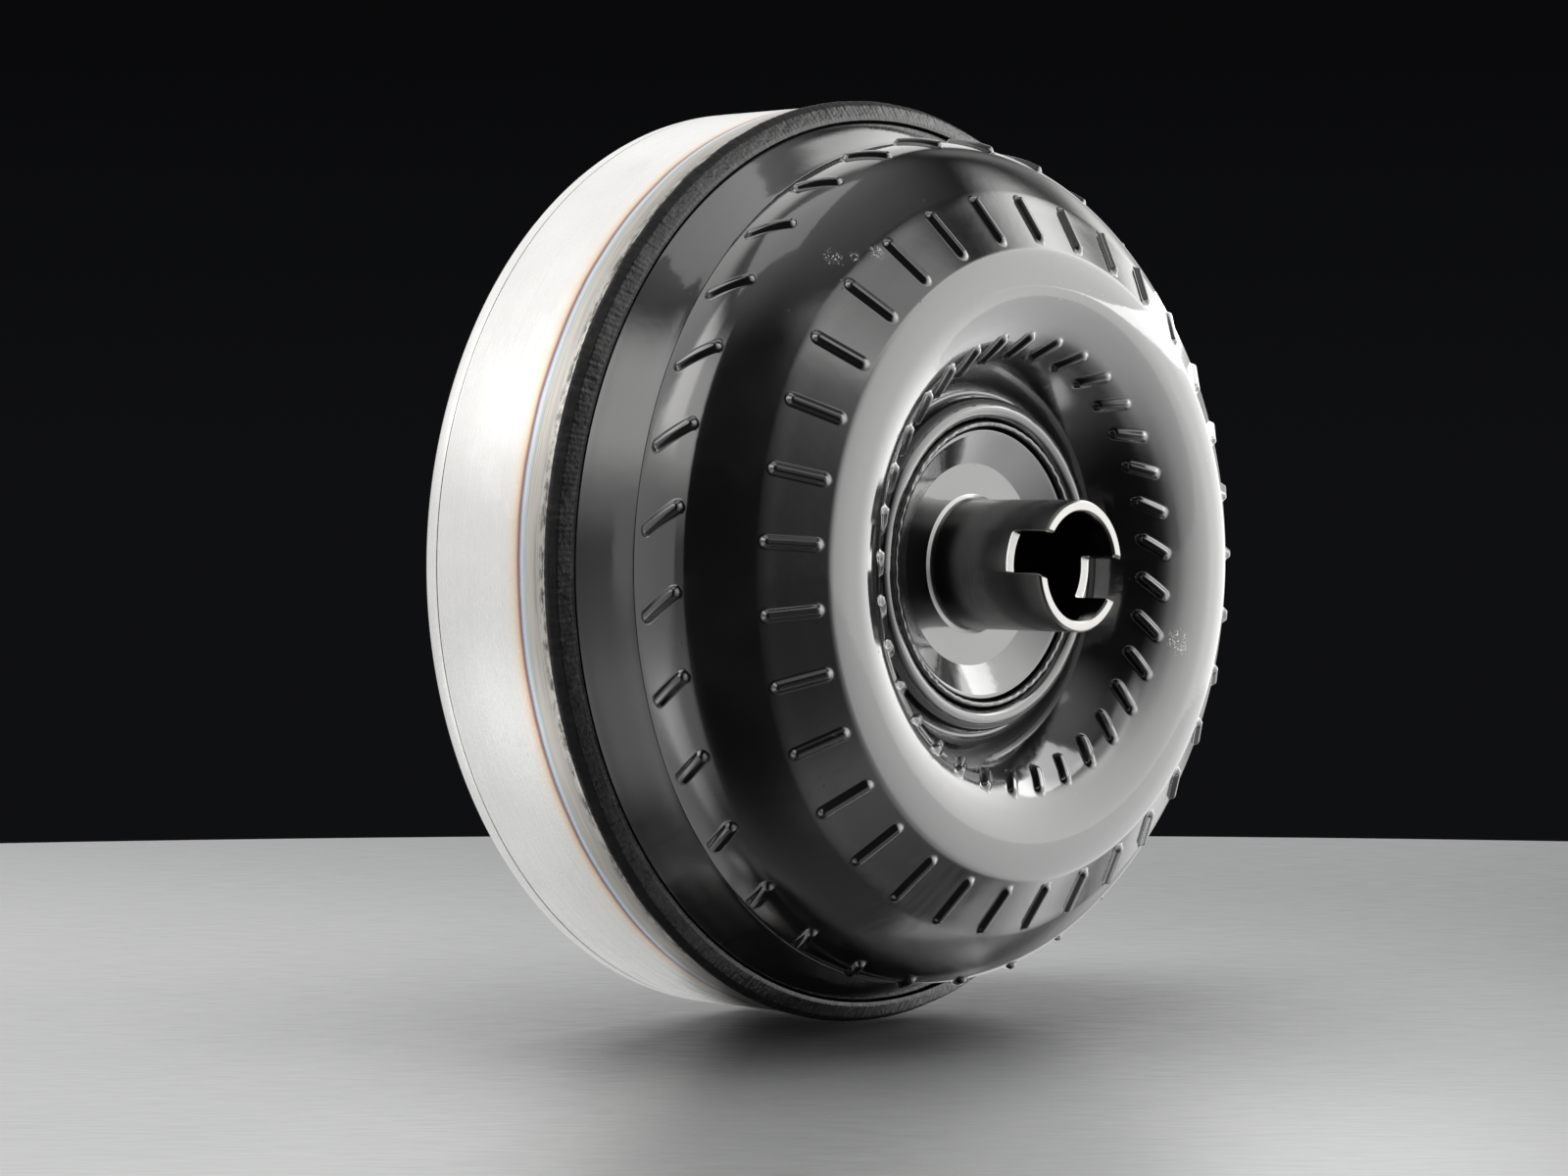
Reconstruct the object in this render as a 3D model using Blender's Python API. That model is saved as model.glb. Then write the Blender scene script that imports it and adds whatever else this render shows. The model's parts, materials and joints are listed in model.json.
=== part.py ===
"""Lock-up torque converter, heavy light-truck size, as separate solids.

Axis of rotation: world Y.  Engine side (front): +Y.  Transmission side (rear, hub nose): -Y.
Origin: centre of the crank pilot's end face.
Lengths are in millimetres and angles in degrees.  "axial" is the distance along the axis
from the hub's tip towards the engine, so world Y = axial - LENGTH.  Angles run round the
axis from +X towards +Z.  Every outline for revolve() lists (radius, axial) points.
"""
import math

import bmesh
import bpy
from mathutils import Matrix, Vector

for old in list(bpy.data.objects):
    bpy.data.objects.remove(old, do_unlink=True)

MM = 0.001

# ---------------------------------------------------------- shared dimensions
LENGTH = 175.0          # hub tip to crank pilot end face
SEG = 40                # facets round the large parts
COVER_FACE = 157.0      # cover's outer flat face
COVER_END = 97.0        # cover's rear edge, where the closing weld sits
COVER_STANDOFF = 0.3    # gap between the cover face and the parts mounted on it
LIP_R = 160.2           # impeller shell's piloting lip, outside
VANES = 33              # impeller vanes, and ridges per row
VANE_PITCH = 360.0 / VANES
VANE_PHASE = 88.3       # angle of one vane at mid passage
HUB_SPLINE_TEETH = 12   # turbine hub, outside and in its bore


# ------------------------------------------------------------------ materials
def material(name, colour, roughness, metallic):
    mat = bpy.data.materials.new(name)
    mat.use_nodes = True
    shader = mat.node_tree.nodes["Principled BSDF"]
    shader.inputs["Base Color"].default_value = (*colour, 1.0)
    shader.inputs["Roughness"].default_value = roughness
    shader.inputs["Metallic"].default_value = metallic
    mat.diffuse_color = (*colour, 1.0)
    return mat


STEEL_BRIGHT = material("turned_steel", colour=(0.62, 0.61, 0.59), roughness=0.28, metallic=1.0)
STEEL_DARK = material("ground_hub_steel", colour=(0.20, 0.20, 0.21), roughness=0.30, metallic=1.0)
PAINT = material("gloss_black_paint", colour=(0.018, 0.018, 0.020), roughness=0.22, metallic=0.0)
WELD = material("weld_bead_black", colour=(0.025, 0.024, 0.024), roughness=0.45, metallic=0.3)
STAMPED = material("stamped_steel", colour=(0.36, 0.36, 0.37), roughness=0.42, metallic=1.0)
ALU = material("cast_aluminium", colour=(0.66, 0.67, 0.68), roughness=0.45, metallic=1.0)
HARD = material("hardened_steel", colour=(0.48, 0.48, 0.50), roughness=0.20, metallic=1.0)
SPRING = material("spring_steel", colour=(0.16, 0.17, 0.20), roughness=0.33, metallic=1.0)
FRICTION = material("friction_paper", colour=(0.20, 0.13, 0.07), roughness=0.90, metallic=0.0)
RUBBER = material("seal_rubber", colour=(0.03, 0.03, 0.03), roughness=0.60, metallic=0.0)
BRONZE = material("bronze_washer", colour=(0.55, 0.38, 0.17), roughness=0.35, metallic=1.0)
CAGE = material("bearing_cage", colour=(0.50, 0.46, 0.34), roughness=0.35, metallic=1.0)


# ------------------------------------------------------------ points and outlines
def at(radius, deg, axial):
    """World point at a radius, an angle round the axis and an axial station."""
    angle = math.radians(deg)
    return Vector((radius * math.cos(angle) * MM, (axial - LENGTH) * MM,
                   radius * math.sin(angle) * MM))


def spaced(count, first=0.0):
    """Evenly spaced angles round the axis."""
    return [360.0 * k / count + first for k in range(count)]


def polar(radius, angle):
    """(x, z) in millimetres at an angle in radians."""
    return radius * math.cos(angle), radius * math.sin(angle)


def circle(radius, points):
    return [polar(radius, 2 * math.pi * i / points) for i in range(points)]


def spline_outline(root_r, tip_r, teeth, share=0.5, growth=0.0):
    """Toothed outline; share is tooth width over pitch, growth widens each flank."""
    points = []
    pitch = 2 * math.pi / teeth
    for i in range(teeth):
        for radius, flank in ((root_r, -1), (tip_r, -1), (tip_r, 1), (root_r, 1)):
            half = share * pitch / 2 + growth / radius
            points.append(polar(radius, i * pitch + flank * half))
    return points


def offset_points(points, distance):
    """Open outline moved along its left-hand normal, mitred at the corners."""
    moved = []
    for i, (radius, axial) in enumerate(points):
        normals = []
        for j, k in ((i - 1, i), (i, i + 1)):
            if j < 0 or k >= len(points):
                continue
            run = points[k][0] - points[j][0]
            rise = points[k][1] - points[j][1]
            length = math.hypot(run, rise)
            normals.append((-rise / length, run / length))
        normal_r = sum(normal[0] for normal in normals) / len(normals)
        normal_ax = sum(normal[1] for normal in normals) / len(normals)
        scale = distance / (normal_r * normal_r + normal_ax * normal_ax)
        moved.append((radius + normal_r * scale, axial + normal_ax * scale))
    return moved


# --------------------------------------------------------------- mesh helpers
def add_object(name, data):
    obj = bpy.data.objects.new(name, data)
    bpy.context.scene.collection.objects.link(obj)
    return obj


def make_object(name, mesh, mat, origin=(0.0, 0.0, 0.0), smooth=True):
    """Turn a world-space bmesh into an object with the given origin."""
    bmesh.ops.recalc_face_normals(mesh, faces=mesh.faces[:])
    origin = Vector(origin)
    bmesh.ops.translate(mesh, verts=mesh.verts[:], vec=-origin)
    data = bpy.data.meshes.new(name)
    mesh.to_mesh(data)
    mesh.free()
    if smooth:
        data.shade_smooth()
        data.set_sharp_from_angle(angle=math.radians(32))
    data.materials.append(mat)
    obj = add_object(name, data)
    obj.location = origin
    return obj


def spin_profile(profile, steps):
    """Turn a closed (radius, axial) outline about the Y axis."""
    mesh = bmesh.new()
    verts = [mesh.verts.new(at(radius, 0.0, axial)) for radius, axial in profile]
    edges = []
    for i, vert in enumerate(verts):
        j = (i + 1) % len(verts)
        # an edge lying on the axis would sweep out nothing
        if profile[i][0] < 1e-6 and profile[j][0] < 1e-6:
            continue
        edges.append(mesh.edges.new((vert, verts[j])))
    bmesh.ops.spin(mesh, geom=verts + edges, cent=(0, 0, 0), axis=(0, 1, 0), dvec=(0, 0, 0),
                   angle=2 * math.pi, steps=steps, use_merge=True, use_duplicate=False)
    bmesh.ops.remove_doubles(mesh, verts=mesh.verts[:], dist=2e-6)
    return mesh


def revolve(name, profile, mat, steps=SEG):
    return make_object(name, spin_profile(profile, steps), mat)


def pin_mesh(profile, steps, radius, deg):
    """A turned pin whose axis is parallel to the main axis."""
    mesh = spin_profile(profile, steps)
    shift = at(radius, deg, LENGTH)
    bmesh.ops.translate(mesh, verts=mesh.verts[:], vec=(shift.x, 0.0, shift.z))
    return mesh


def prism_mesh(loops, rear, front):
    """Plate with holes: (x, z) outlines filled and extruded along the axis."""
    mesh = bmesh.new()
    edges = []
    for loop in loops:
        verts = [mesh.verts.new((x * MM, (rear - LENGTH) * MM, z * MM)) for x, z in loop]
        edges += [mesh.edges.new((verts[i], verts[(i + 1) % len(verts)]))
                  for i in range(len(verts))]
    bmesh.ops.triangle_fill(mesh, use_beauty=True, use_dissolve=False, edges=edges,
                            normal=(0, -1, 0))
    extruded = bmesh.ops.extrude_face_region(mesh, geom=mesh.faces[:])
    moved = [item for item in extruded["geom"] if isinstance(item, bmesh.types.BMVert)]
    bmesh.ops.translate(mesh, verts=moved, vec=(0, (front - rear) * MM, 0))
    return mesh


def box_mesh(size, matrix):
    mesh = bmesh.new()
    bmesh.ops.create_cube(mesh, size=1.0)
    bmesh.ops.scale(mesh, vec=Vector(size) * MM, verts=mesh.verts[:])
    bmesh.ops.transform(mesh, matrix=matrix, verts=mesh.verts[:])
    return mesh


def join(meshes):
    """Gather several bmeshes into one without welding them."""
    whole = bmesh.new()
    for mesh in meshes:
        data = bpy.data.meshes.new("tmp")
        mesh.to_mesh(data)
        mesh.free()
        whole.from_mesh(data)
        bpy.data.meshes.remove(data)
    return whole


def boolean(target, tool, operation):
    """Combine a tool object with the target, and hide the tool from renders."""
    tool.hide_render = True
    tool.display_type = "WIRE"
    modifier = target.modifiers.new(operation.lower(), "BOOLEAN")
    modifier.operation = operation
    modifier.solver = "EXACT"
    modifier.object = tool


def boolean_mesh(target, name, mesh, operation):
    """Boolean with a flat-shaded tool of the target's material; returns the tool."""
    tool = make_object(name, mesh, target.data.materials[0], smooth=False)
    boolean(target, tool, operation)
    return tool


def turn_y(deg):
    return Matrix.Rotation(math.radians(deg), 4, "Y")


def frame_along(centre, direction):
    """Matrix whose local Z lies on the direction and whose origin is the centre."""
    turn = Vector(direction).to_track_quat("Z", "Y").to_matrix().to_4x4()
    return Matrix.Translation(centre) @ turn


# -------------------------------------------------------------- impeller shell
SHELL_T = 3.2           # wall
LIP_FRONT = 104.0       # front edge of the piloting lip

# (radius, axial) on the outer side, from the piloting lip to the rolled inner collar
SHELL_OUT = [
    (LIP_R, LIP_FRONT), (LIP_R, 94.5), (158.8, 89.8), (153.9, 79.2), (150.6, 70.2),
    (150.2, 61.5), (147.6, 52.2), (142.6, 44.2), (135.6, 37.4), (124.6, 29.0),
    (116.9, 22.9), (109.5, 18.3), (103.5, 17.1), (96.5, 17.0), (90.5, 18.3),
    (84.0, 21.0), (77.5, 26.0), (71.5, 32.4), (66.4, 39.6), (61.6, 48.2),
    (59.3, 46.0), (57.6, 41.7), (54.6, 40.4), (51.8, 42.4), (51.3, 46.5),
]
COLLAR_FRONT = [(51.3, 51.0), (60.5, 52.8)]
# indices of the SHELL_OUT points that the inner side keeps
SHELL_IN_STATIONS = (18, 16, 14, 11, 9, 7, 5, 4, 2)

# outer, middle and inner row of ridges: start and end, each
# (radius, axial, angle from the vane's phase)
RIDGE_ROWS = (
    ((147.7, 52.3, -4.3), (150.35, 66.3, -0.3)),
    ((113.2, 20.6, 0.0), (129.2, 32.5, 0.0)),
    ((73.0, 30.3, 6.0), (81.0, 22.9, 0.2)),
)
RIDGE_HALF_W = 2.3
RIDGE_H = 1.9           # above the row's own line
RIDGE_SINK = 1.3        # foot below that line, inside the shell wall


def ridge(start, end, phase):
    """Low hipped ridge on the shell's outside."""
    start_point = at(start[0], phase + start[2], start[1])
    end_point = at(end[0], phase + end[2], end[1])
    middle = math.radians((start[2] + end[2]) / 2 + phase)
    run, rise = start[0] - end[0], start[1] - end[1]
    length = math.hypot(run, rise)
    normal_r, normal_ax = -rise / length, run / length
    # point away from the shell: rearwards, or outwards where the wall is nearly axial
    if normal_ax > 0.2 or (abs(normal_ax) <= 0.2 and normal_r < 0):
        normal_r, normal_ax = -normal_r, -normal_ax
    normal = Vector((normal_r * math.cos(middle), normal_ax, normal_r * math.sin(middle)))
    along = (end_point - start_point).normalized()
    normal = (normal - along * normal.dot(along)).normalized()
    across = along.cross(normal)
    half, height, sink = RIDGE_HALF_W * MM, RIDGE_H * MM, RIDGE_SINK * MM
    corners = (start_point + across * half, end_point + across * half,
               end_point - across * half, start_point - across * half)
    mesh = bmesh.new()
    foot = [mesh.verts.new(corner - normal * sink) for corner in corners]
    start_top = mesh.verts.new(start_point + along * half + normal * height)
    end_top = mesh.verts.new(end_point - along * half + normal * height)
    for face in (foot,
                 (foot[1], foot[0], start_top, end_top),
                 (foot[2], foot[1], end_top),
                 (foot[3], foot[2], end_top, start_top),
                 (foot[0], foot[3], start_top)):
        mesh.faces.new(face)
    bmesh.ops.recalc_face_normals(mesh, faces=mesh.faces[:])
    return mesh


def build_impeller_shell():
    inner_full = offset_points(SHELL_OUT, -SHELL_T)
    inner_side = [inner_full[i] for i in SHELL_IN_STATIONS]
    profile = SHELL_OUT + COLLAR_FRONT + inner_side + [(LIP_R - SHELL_T, LIP_FRONT)]
    shell = revolve("impeller_shell", profile, PAINT)
    ridges = [ridge(start, end, VANE_PHASE + k * VANE_PITCH)
              for start, end in RIDGE_ROWS for k in range(VANES)]
    boolean_mesh(shell, "ridge_tool", join(ridges), "UNION")


# ------------------------------------------------------- cover and parts on it
COVER_R = 165.5
COVER_INNER_FACE = 145.0
COVER_BORE_R = 158.0
LIP_CLEARANCE = 0.7     # radial, round the impeller shell's lip
LIP_SEAT = 104.6        # front end of the counterbore for the lip
GROOVE_FLOOR = 153.5    # broad ring groove in the outer face
RECESS_R = 19.4         # central recess for the crank pilot
RECESS_FLOOR = 153.0
RECESS_FIT = 0.4        # gap between pilot and recess
PILOT_R = 21.5
LUG_COUNT = 6
LUG_PHASE = 30.0
LUG_PCD_R = 139.7       # 279.4 mm bolt circle
LUG_R = 13.0
LUG_FACE = 165.0
LUG_CHAMFER = 1.2
LUG_THREAD_R = 4.5
LUG_THREAD_FLOOR = 159.6
WEIGHT_SIZE = (24.0, 4.0, 11.0)   # tangential, axial, radial
WEIGHT_CIRCLE_R = 137.0
WEIGHT_BEVEL = 1.1


def build_front_cover():
    revolve("front_cover", [
        (0, COVER_INNER_FACE), (155.0, COVER_INNER_FACE), (COVER_BORE_R, 142.0),
        (COVER_BORE_R, LIP_SEAT), (LIP_R + LIP_CLEARANCE, LIP_SEAT),
        (LIP_R + LIP_CLEARANCE, COVER_END), (COVER_R, COVER_END), (COVER_R, 153.4),
        (164.6, 155.6), (162.2, COVER_FACE), (118.0, COVER_FACE), (115.0, GROOVE_FLOOR),
        (62.0, GROOVE_FLOOR), (59.0, COVER_FACE), (RECESS_R, COVER_FACE),
        (RECESS_R, RECESS_FLOOR), (0, RECESS_FLOOR)], STEEL_BRIGHT)


def build_crank_pilot():
    plug_r = RECESS_R - RECESS_FIT
    plug_end = RECESS_FLOOR + RECESS_FIT
    foot = COVER_FACE + COVER_STANDOFF
    revolve("crank_pilot", [
        (0, plug_end), (plug_r, plug_end), (plug_r, foot), (25.5, foot), (PILOT_R, 161.5),
        (PILOT_R, 173.2), (20.0, LENGTH), (0, LENGTH)], STEEL_BRIGHT, steps=28)


def build_drive_lugs():
    """Lugs with a blind hole, all sharing one mesh; origin at the outer face."""
    foot = COVER_FACE + COVER_STANDOFF
    profile = [(0, foot), (LUG_R, foot), (LUG_R, LUG_FACE - LUG_CHAMFER),
               (LUG_R - LUG_CHAMFER, LUG_FACE), (LUG_THREAD_R, LUG_FACE),
               (LUG_THREAD_R, LUG_THREAD_FLOOR), (0, LUG_THREAD_FLOOR)]
    lug = first = make_object("drive_lug_1", spin_profile(profile, 12), STEEL_BRIGHT,
                              origin=at(0.0, 0.0, LUG_FACE))
    for k, deg in enumerate(spaced(LUG_COUNT, LUG_PHASE)):
        if k > 0:
            lug = add_object("drive_lug_%d" % (k + 1), first.data)
        lug.location = at(LUG_PCD_R, deg, LUG_FACE)


def build_balance_weight():
    centre = at(WEIGHT_CIRCLE_R, 0.0, COVER_FACE + COVER_STANDOFF + WEIGHT_SIZE[1] / 2)
    mesh = box_mesh(WEIGHT_SIZE, Matrix.Translation(centre) @ turn_y(90))
    bmesh.ops.bevel(mesh, geom=mesh.edges[:], offset=WEIGHT_BEVEL * MM, segments=1,
                    affect="EDGES")
    make_object("balance_weight", mesh, STAMPED)


def build_cover_weld():
    bead_front = COVER_END - 0.3
    revolve("cover_weld", [
        (160.65, bead_front), (166.2, bead_front), (167.3, 94.9), (165.3, 91.4),
        (159.3, 88.7), (159.6, 90.0), (160.65, 94.3)], WELD)


# ---------------------------------------------------------------- impeller hub
HUB_R = 23.05           # neck outside radius (46 mm journal)
HUB_CHAMFER = 0.75
HUB_BORE_R = 19.0
HUB_BORE_CHAMFER = 0.6
HUB_FRONT = 56.5
SLOT_W = 15.0           # drive slots across the hub tip
SLOT_DEPTH = 15.0
SLOT_OVERRUN = 4.0      # how far the slot tool stands out behind the tip
SLOT_TOOL_LENGTH = 80.0
SLOT_ANGLE = -14.0      # of the slot line round the axis


def build_impeller_hub():
    hub = revolve("impeller_hub", [
        (HUB_R - HUB_CHAMFER, 0.0), (HUB_R, HUB_CHAMFER), (HUB_R, 47.9), (23.9, 49.1),
        (25.2, 49.6), (36.0, 49.6), (46.6, 43.8), (47.6, 43.3), (48.4, 44.2), (50.9, 47.4),
        (50.9, HUB_FRONT), (HUB_BORE_R, HUB_FRONT), (HUB_BORE_R, HUB_BORE_CHAMFER),
        (HUB_BORE_R + HUB_BORE_CHAMFER, 0.0)], STEEL_DARK, steps=36)
    centre = at(0.0, 0.0, (SLOT_DEPTH - SLOT_OVERRUN) / 2)
    slot = box_mesh((SLOT_TOOL_LENGTH, SLOT_DEPTH + SLOT_OVERRUN, SLOT_W),
                    Matrix.Translation(centre) @ turn_y(-SLOT_ANGLE))
    boolean_mesh(hub, "slot_tool", slot, "DIFFERENCE")


def build_hub_weld():
    revolve("hub_weld", [(48.75, 43.55), (50.85, 46.3), (50.95, 43.2), (50.2, 41.6),
                         (48.9, 42.1)], WELD, steps=36)


# ---------------------------------------------------------------- vane rings
VANE_T = 1.3
VANE_CLEARANCE = 0.8    # vane edge to shell wall
CORE_R = 109.5          # centre radius of both half-torus core rings
CORE_HALF_W = 21.5      # radial half width of both
CORE_WALL = 1.8

# (angle on the core's cross-section, vane lean round the axis) at each vane station
IMPELLER_SECTIONS = ((172.0, 8.0), (118.0, 0.2), (70.0, 0.0), (42.0, 4.5), (18.0, 9.3),
                     (-6.0, 12.5))
TURBINE_SECTIONS = ((170.0, 26.0), (118.0, 10.0), (66.0, -2.0), (22.0, -4.0), (-9.0, 2.0))
# shell outline indices that carry the vane edge, and the (radius, axial) end by the rim
IMPELLER_VANE_STATIONS = (18, 14, 9, 7, 5)
IMPELLER_VANE_END = (146.2, 75.0)
TURBINE_VANE_STATIONS = (9, 7, 5, 3)
TURBINE_VANE_END = (145.9, 80.4)


def vane_ring(name, edge, sections, core_axial, core_depth, direction, count, phase):
    """Vanes grown out of a half-torus core ring, which bulges along direction (+1 or -1).

    edge: (radius, axial) of each vane's shell edge at each station.
    """
    def core_point(deg, inset):
        angle = math.radians(deg)
        return (CORE_R + (CORE_HALF_W - inset) * math.cos(angle),
                core_axial + direction * (core_depth - inset) * math.sin(angle))

    outer = [core_point(deg, 0.0) for deg, _ in sections]
    inner = [core_point(deg, CORE_WALL) for deg, _ in sections]
    pitch = 360.0 / count
    stations = len(sections)
    mesh = bmesh.new()
    grid = {}
    for k in range(count):
        for side in (0, 1):
            for i in range(stations):
                for layer, path in (("outer", outer), ("inner", inner), ("edge", edge)):
                    if layer == "inner" and side:
                        continue
                    radius, axial = path[i]
                    half = math.degrees(VANE_T / 2 / radius)
                    deg = phase + k * pitch + sections[i][1] + (half if side else -half)
                    grid[k, side, i, layer] = mesh.verts.new(at(radius, deg, axial))

    def face(*keys):
        mesh.faces.new([grid[key] for key in keys])

    for k in range(count):
        after = (k + 1) % count
        for i in range(stations - 1):
            j = i + 1
            # the core ring's two skins between this vane and the next
            face((k, 1, i, "outer"), (after, 0, i, "outer"),
                 (after, 0, j, "outer"), (k, 1, j, "outer"))
            face((k, 0, i, "inner"), (k, 0, j, "inner"),
                 (after, 0, j, "inner"), (after, 0, i, "inner"))
            # the vane's two sides and its shell edge
            face((k, 0, i, "outer"), (k, 0, j, "outer"), (k, 0, j, "edge"), (k, 0, i, "edge"))
            face((k, 1, i, "outer"), (k, 1, i, "edge"), (k, 1, j, "edge"), (k, 1, j, "outer"))
            face((k, 0, i, "edge"), (k, 0, j, "edge"), (k, 1, j, "edge"), (k, 1, i, "edge"))
        # the ends of the core ring and of the vane
        for i in (0, stations - 1):
            face((k, 0, i, "outer"), (k, 0, i, "inner"), (after, 0, i, "inner"),
                 (after, 0, i, "outer"), (k, 1, i, "outer"))
            face((k, 0, i, "outer"), (k, 1, i, "outer"), (k, 1, i, "edge"), (k, 0, i, "edge"))
    bmesh.ops.triangulate(mesh, faces=mesh.faces[:], quad_method="FIXED")
    make_object(name, mesh, STAMPED)


def build_impeller_vane_ring():
    clear = offset_points(SHELL_OUT, -(SHELL_T + VANE_CLEARANCE))
    edge = [clear[i] for i in IMPELLER_VANE_STATIONS] + [IMPELLER_VANE_END]
    vane_ring("impeller_vane_ring", edge, IMPELLER_SECTIONS, core_axial=72.0,
              core_depth=26.0, direction=-1, count=VANES, phase=VANE_PHASE)


# --------------------------------------------------------------------- turbine
TURBINE_T = 2.0
# (radius, axial) on the outer side, from the rim to the inner flange
TURBINE_OUT = [
    (148.6, 79.5), (148.8, 88.5), (146.0, 97.5), (139.0, 106.0), (128.5, 113.2),
    (116.0, 117.8), (102.0, 119.4), (89.0, 117.3), (77.5, 112.2), (68.5, 106.4),
    (62.0, 103.9),
]
TURBINE_FLANGE = [(36.6, 103.9), (36.6, 101.8), (61.2, 101.8)]
# indices of the TURBINE_OUT points that the inner side keeps
TURBINE_IN_STATIONS = (9, 7, 5, 3, 2, 0)
RIVETS = 6
RIVET_CIRCLE_R = 48.0
RIVET_CENTRE = 100.0
RIVET_PROFILE = [(0, 93.4), (3.6, 93.4), (5.2, 95.7), (3.0, 95.7), (3.0, 104.2),
                 (5.2, 104.2), (3.6, 106.6), (0, 106.6)]
RIVET_HOLE_PROFILE = [(0, 94.0), (3.45, 94.0), (3.45, 106.0), (0, 106.0)]


def build_turbine_shell():
    inner = offset_points(TURBINE_OUT, TURBINE_T)
    profile = TURBINE_OUT + TURBINE_FLANGE + [inner[i] for i in TURBINE_IN_STATIONS]
    return revolve("turbine_shell", profile, STAMPED)


def build_turbine_vane_ring():
    clear = offset_points(TURBINE_OUT, TURBINE_T + VANE_CLEARANCE)
    edge = [clear[i] for i in TURBINE_VANE_STATIONS] + [TURBINE_VANE_END]
    vane_ring("turbine_vane_ring", edge, TURBINE_SECTIONS, core_axial=81.0,
              core_depth=15.0, direction=1, count=31, phase=3.0)


def build_turbine_hub():
    """Flanged hub with a seal groove, outer spline teeth and bore spline teeth."""
    hub = revolve("turbine_hub", [
        (17.2, 92.5), (42.0, 92.5), (42.0, 96.0), (58.0, 96.0), (58.0, 101.4),
        (30.0, 101.4), (30.0, 139.0), (28.4, 139.0), (28.4, 141.0), (30.0, 141.0),
        (29.4, 142.5), (17.2, 142.5)], HARD, steps=32)
    outer_teeth = prism_mesh([spline_outline(29.0, 32.2, HUB_SPLINE_TEETH), circle(25.0, 12)],
                             rear=105.0, front=136.0)
    boolean_mesh(hub, "hub_teeth_tool", outer_teeth, "UNION")
    bore_teeth = prism_mesh(
        [circle(18.4, 16), spline_outline(17.0, 15.3, HUB_SPLINE_TEETH, share=0.45)],
        rear=93.0, front=142.0)
    boolean_mesh(hub, "bore_teeth_tool", bore_teeth, "UNION")
    return hub


def build_rivets(hub, shell):
    """Rivets, and their holes through the hub flange and the shell's inner flange."""
    holes = join([pin_mesh(RIVET_HOLE_PROFILE, 8, RIVET_CIRCLE_R, deg)
                  for deg in spaced(RIVETS)])
    tool = boolean_mesh(hub, "rivet_hole_tool", holes, "DIFFERENCE")
    boolean(shell, tool, "DIFFERENCE")
    for k, deg in enumerate(spaced(RIVETS)):
        make_object("turbine_rivet_%d" % (k + 1),
                    pin_mesh(RIVET_PROFILE, 6, RIVET_CIRCLE_R, deg), HARD,
                    origin=at(RIVET_CIRCLE_R, deg, RIVET_CENTRE))


def build_piston_seal():
    revolve("piston_seal", [(28.75, 139.3), (30.1, 139.3), (30.1, 140.7), (28.75, 140.7)],
            RUBBER, steps=24)


# ------------------------------------------------------- lock-up clutch, damper
SPRINGS = 6
SPRING_PHASE = 30.0
SPRING_CIRCLE_R = 80.0
SPRING_AX = 129.5
SPRING_LENGTH = 44.0
COIL_R = 6.1            # helix radius at the wire's centre
WIRE_R = 1.25
COIL_TURNS = 4.5
COIL_STEPS = 5          # segments per turn
WINDOW_W = 16.4         # radial
WINDOW_LENGTH = SPRING_LENGTH + 2.0


def spring_windows(rear, front):
    """Boxes that cut the spring windows, between two axial stations."""
    return join([
        box_mesh((WINDOW_W, front - rear, WINDOW_LENGTH),
                 Matrix.Translation(at(SPRING_CIRCLE_R, deg, (rear + front) / 2))
                 @ turn_y(-deg))
        for deg in spaced(SPRINGS, SPRING_PHASE)])


def build_damper_driven_plate():
    web = prism_mesh([circle(94.0, 36), circle(37.5, 24)], rear=128.2, front=130.8)
    plate = make_object("damper_driven_plate", web, STAMPED)
    boss = prism_mesh(
        [circle(41.0, 24), spline_outline(30.45, 32.6, HUB_SPLINE_TEETH, growth=0.3)],
        rear=124.0, front=135.0)
    boolean_mesh(plate, "boss_tool", boss, "UNION")
    boolean_mesh(plate, "driven_window_tool", spring_windows(rear=120.0, front=139.0),
                 "DIFFERENCE")


def build_damper_retainer():
    retainer = revolve("damper_retainer", [
        (63.0, 123.0), (99.0, 123.0), (99.0, 137.7), (96.6, 137.7), (96.6, 125.0),
        (63.0, 125.0)], STAMPED)
    boolean_mesh(retainer, "retainer_window_tool", spring_windows(rear=120.0, front=127.0),
                 "DIFFERENCE")


def coil(name, centre, direction):
    """Coil spring: a faceted wire swept along a helix by a bevelled curve."""
    curve = bpy.data.curves.new(name + "_path", "CURVE")
    curve.dimensions = "3D"
    curve.bevel_depth = WIRE_R * MM
    curve.bevel_resolution = 0
    curve.use_fill_caps = True
    path = curve.splines.new("POLY")
    count = int(COIL_TURNS * COIL_STEPS) + 1
    path.points.add(count - 1)
    for i in range(count):
        part = i / (count - 1)
        x, y = polar(COIL_R, 2 * math.pi * COIL_TURNS * part)
        z = (part - 0.5) * (SPRING_LENGTH - 2 * WIRE_R)
        path.points[i].co = (x * MM, y * MM, z * MM, 1)
    helper = add_object(name + "_path", curve)
    bpy.context.view_layer.update()
    depsgraph = bpy.context.evaluated_depsgraph_get()
    data = bpy.data.meshes.new_from_object(helper.evaluated_get(depsgraph))
    bpy.data.objects.remove(helper, do_unlink=True)
    mesh = bmesh.new()
    mesh.from_mesh(data)
    bmesh.ops.remove_doubles(mesh, verts=mesh.verts[:], dist=2e-6)
    bmesh.ops.transform(mesh, matrix=frame_along(centre, direction), verts=mesh.verts[:])
    make_object(name, mesh, SPRING, origin=centre)


def build_damper_springs():
    for k, deg in enumerate(spaced(SPRINGS, SPRING_PHASE)):
        angle = math.radians(deg)
        coil("damper_spring_%d" % (k + 1), at(SPRING_CIRCLE_R, deg, SPRING_AX),
             direction=(-math.sin(angle), 0.0, math.cos(angle)))


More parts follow.
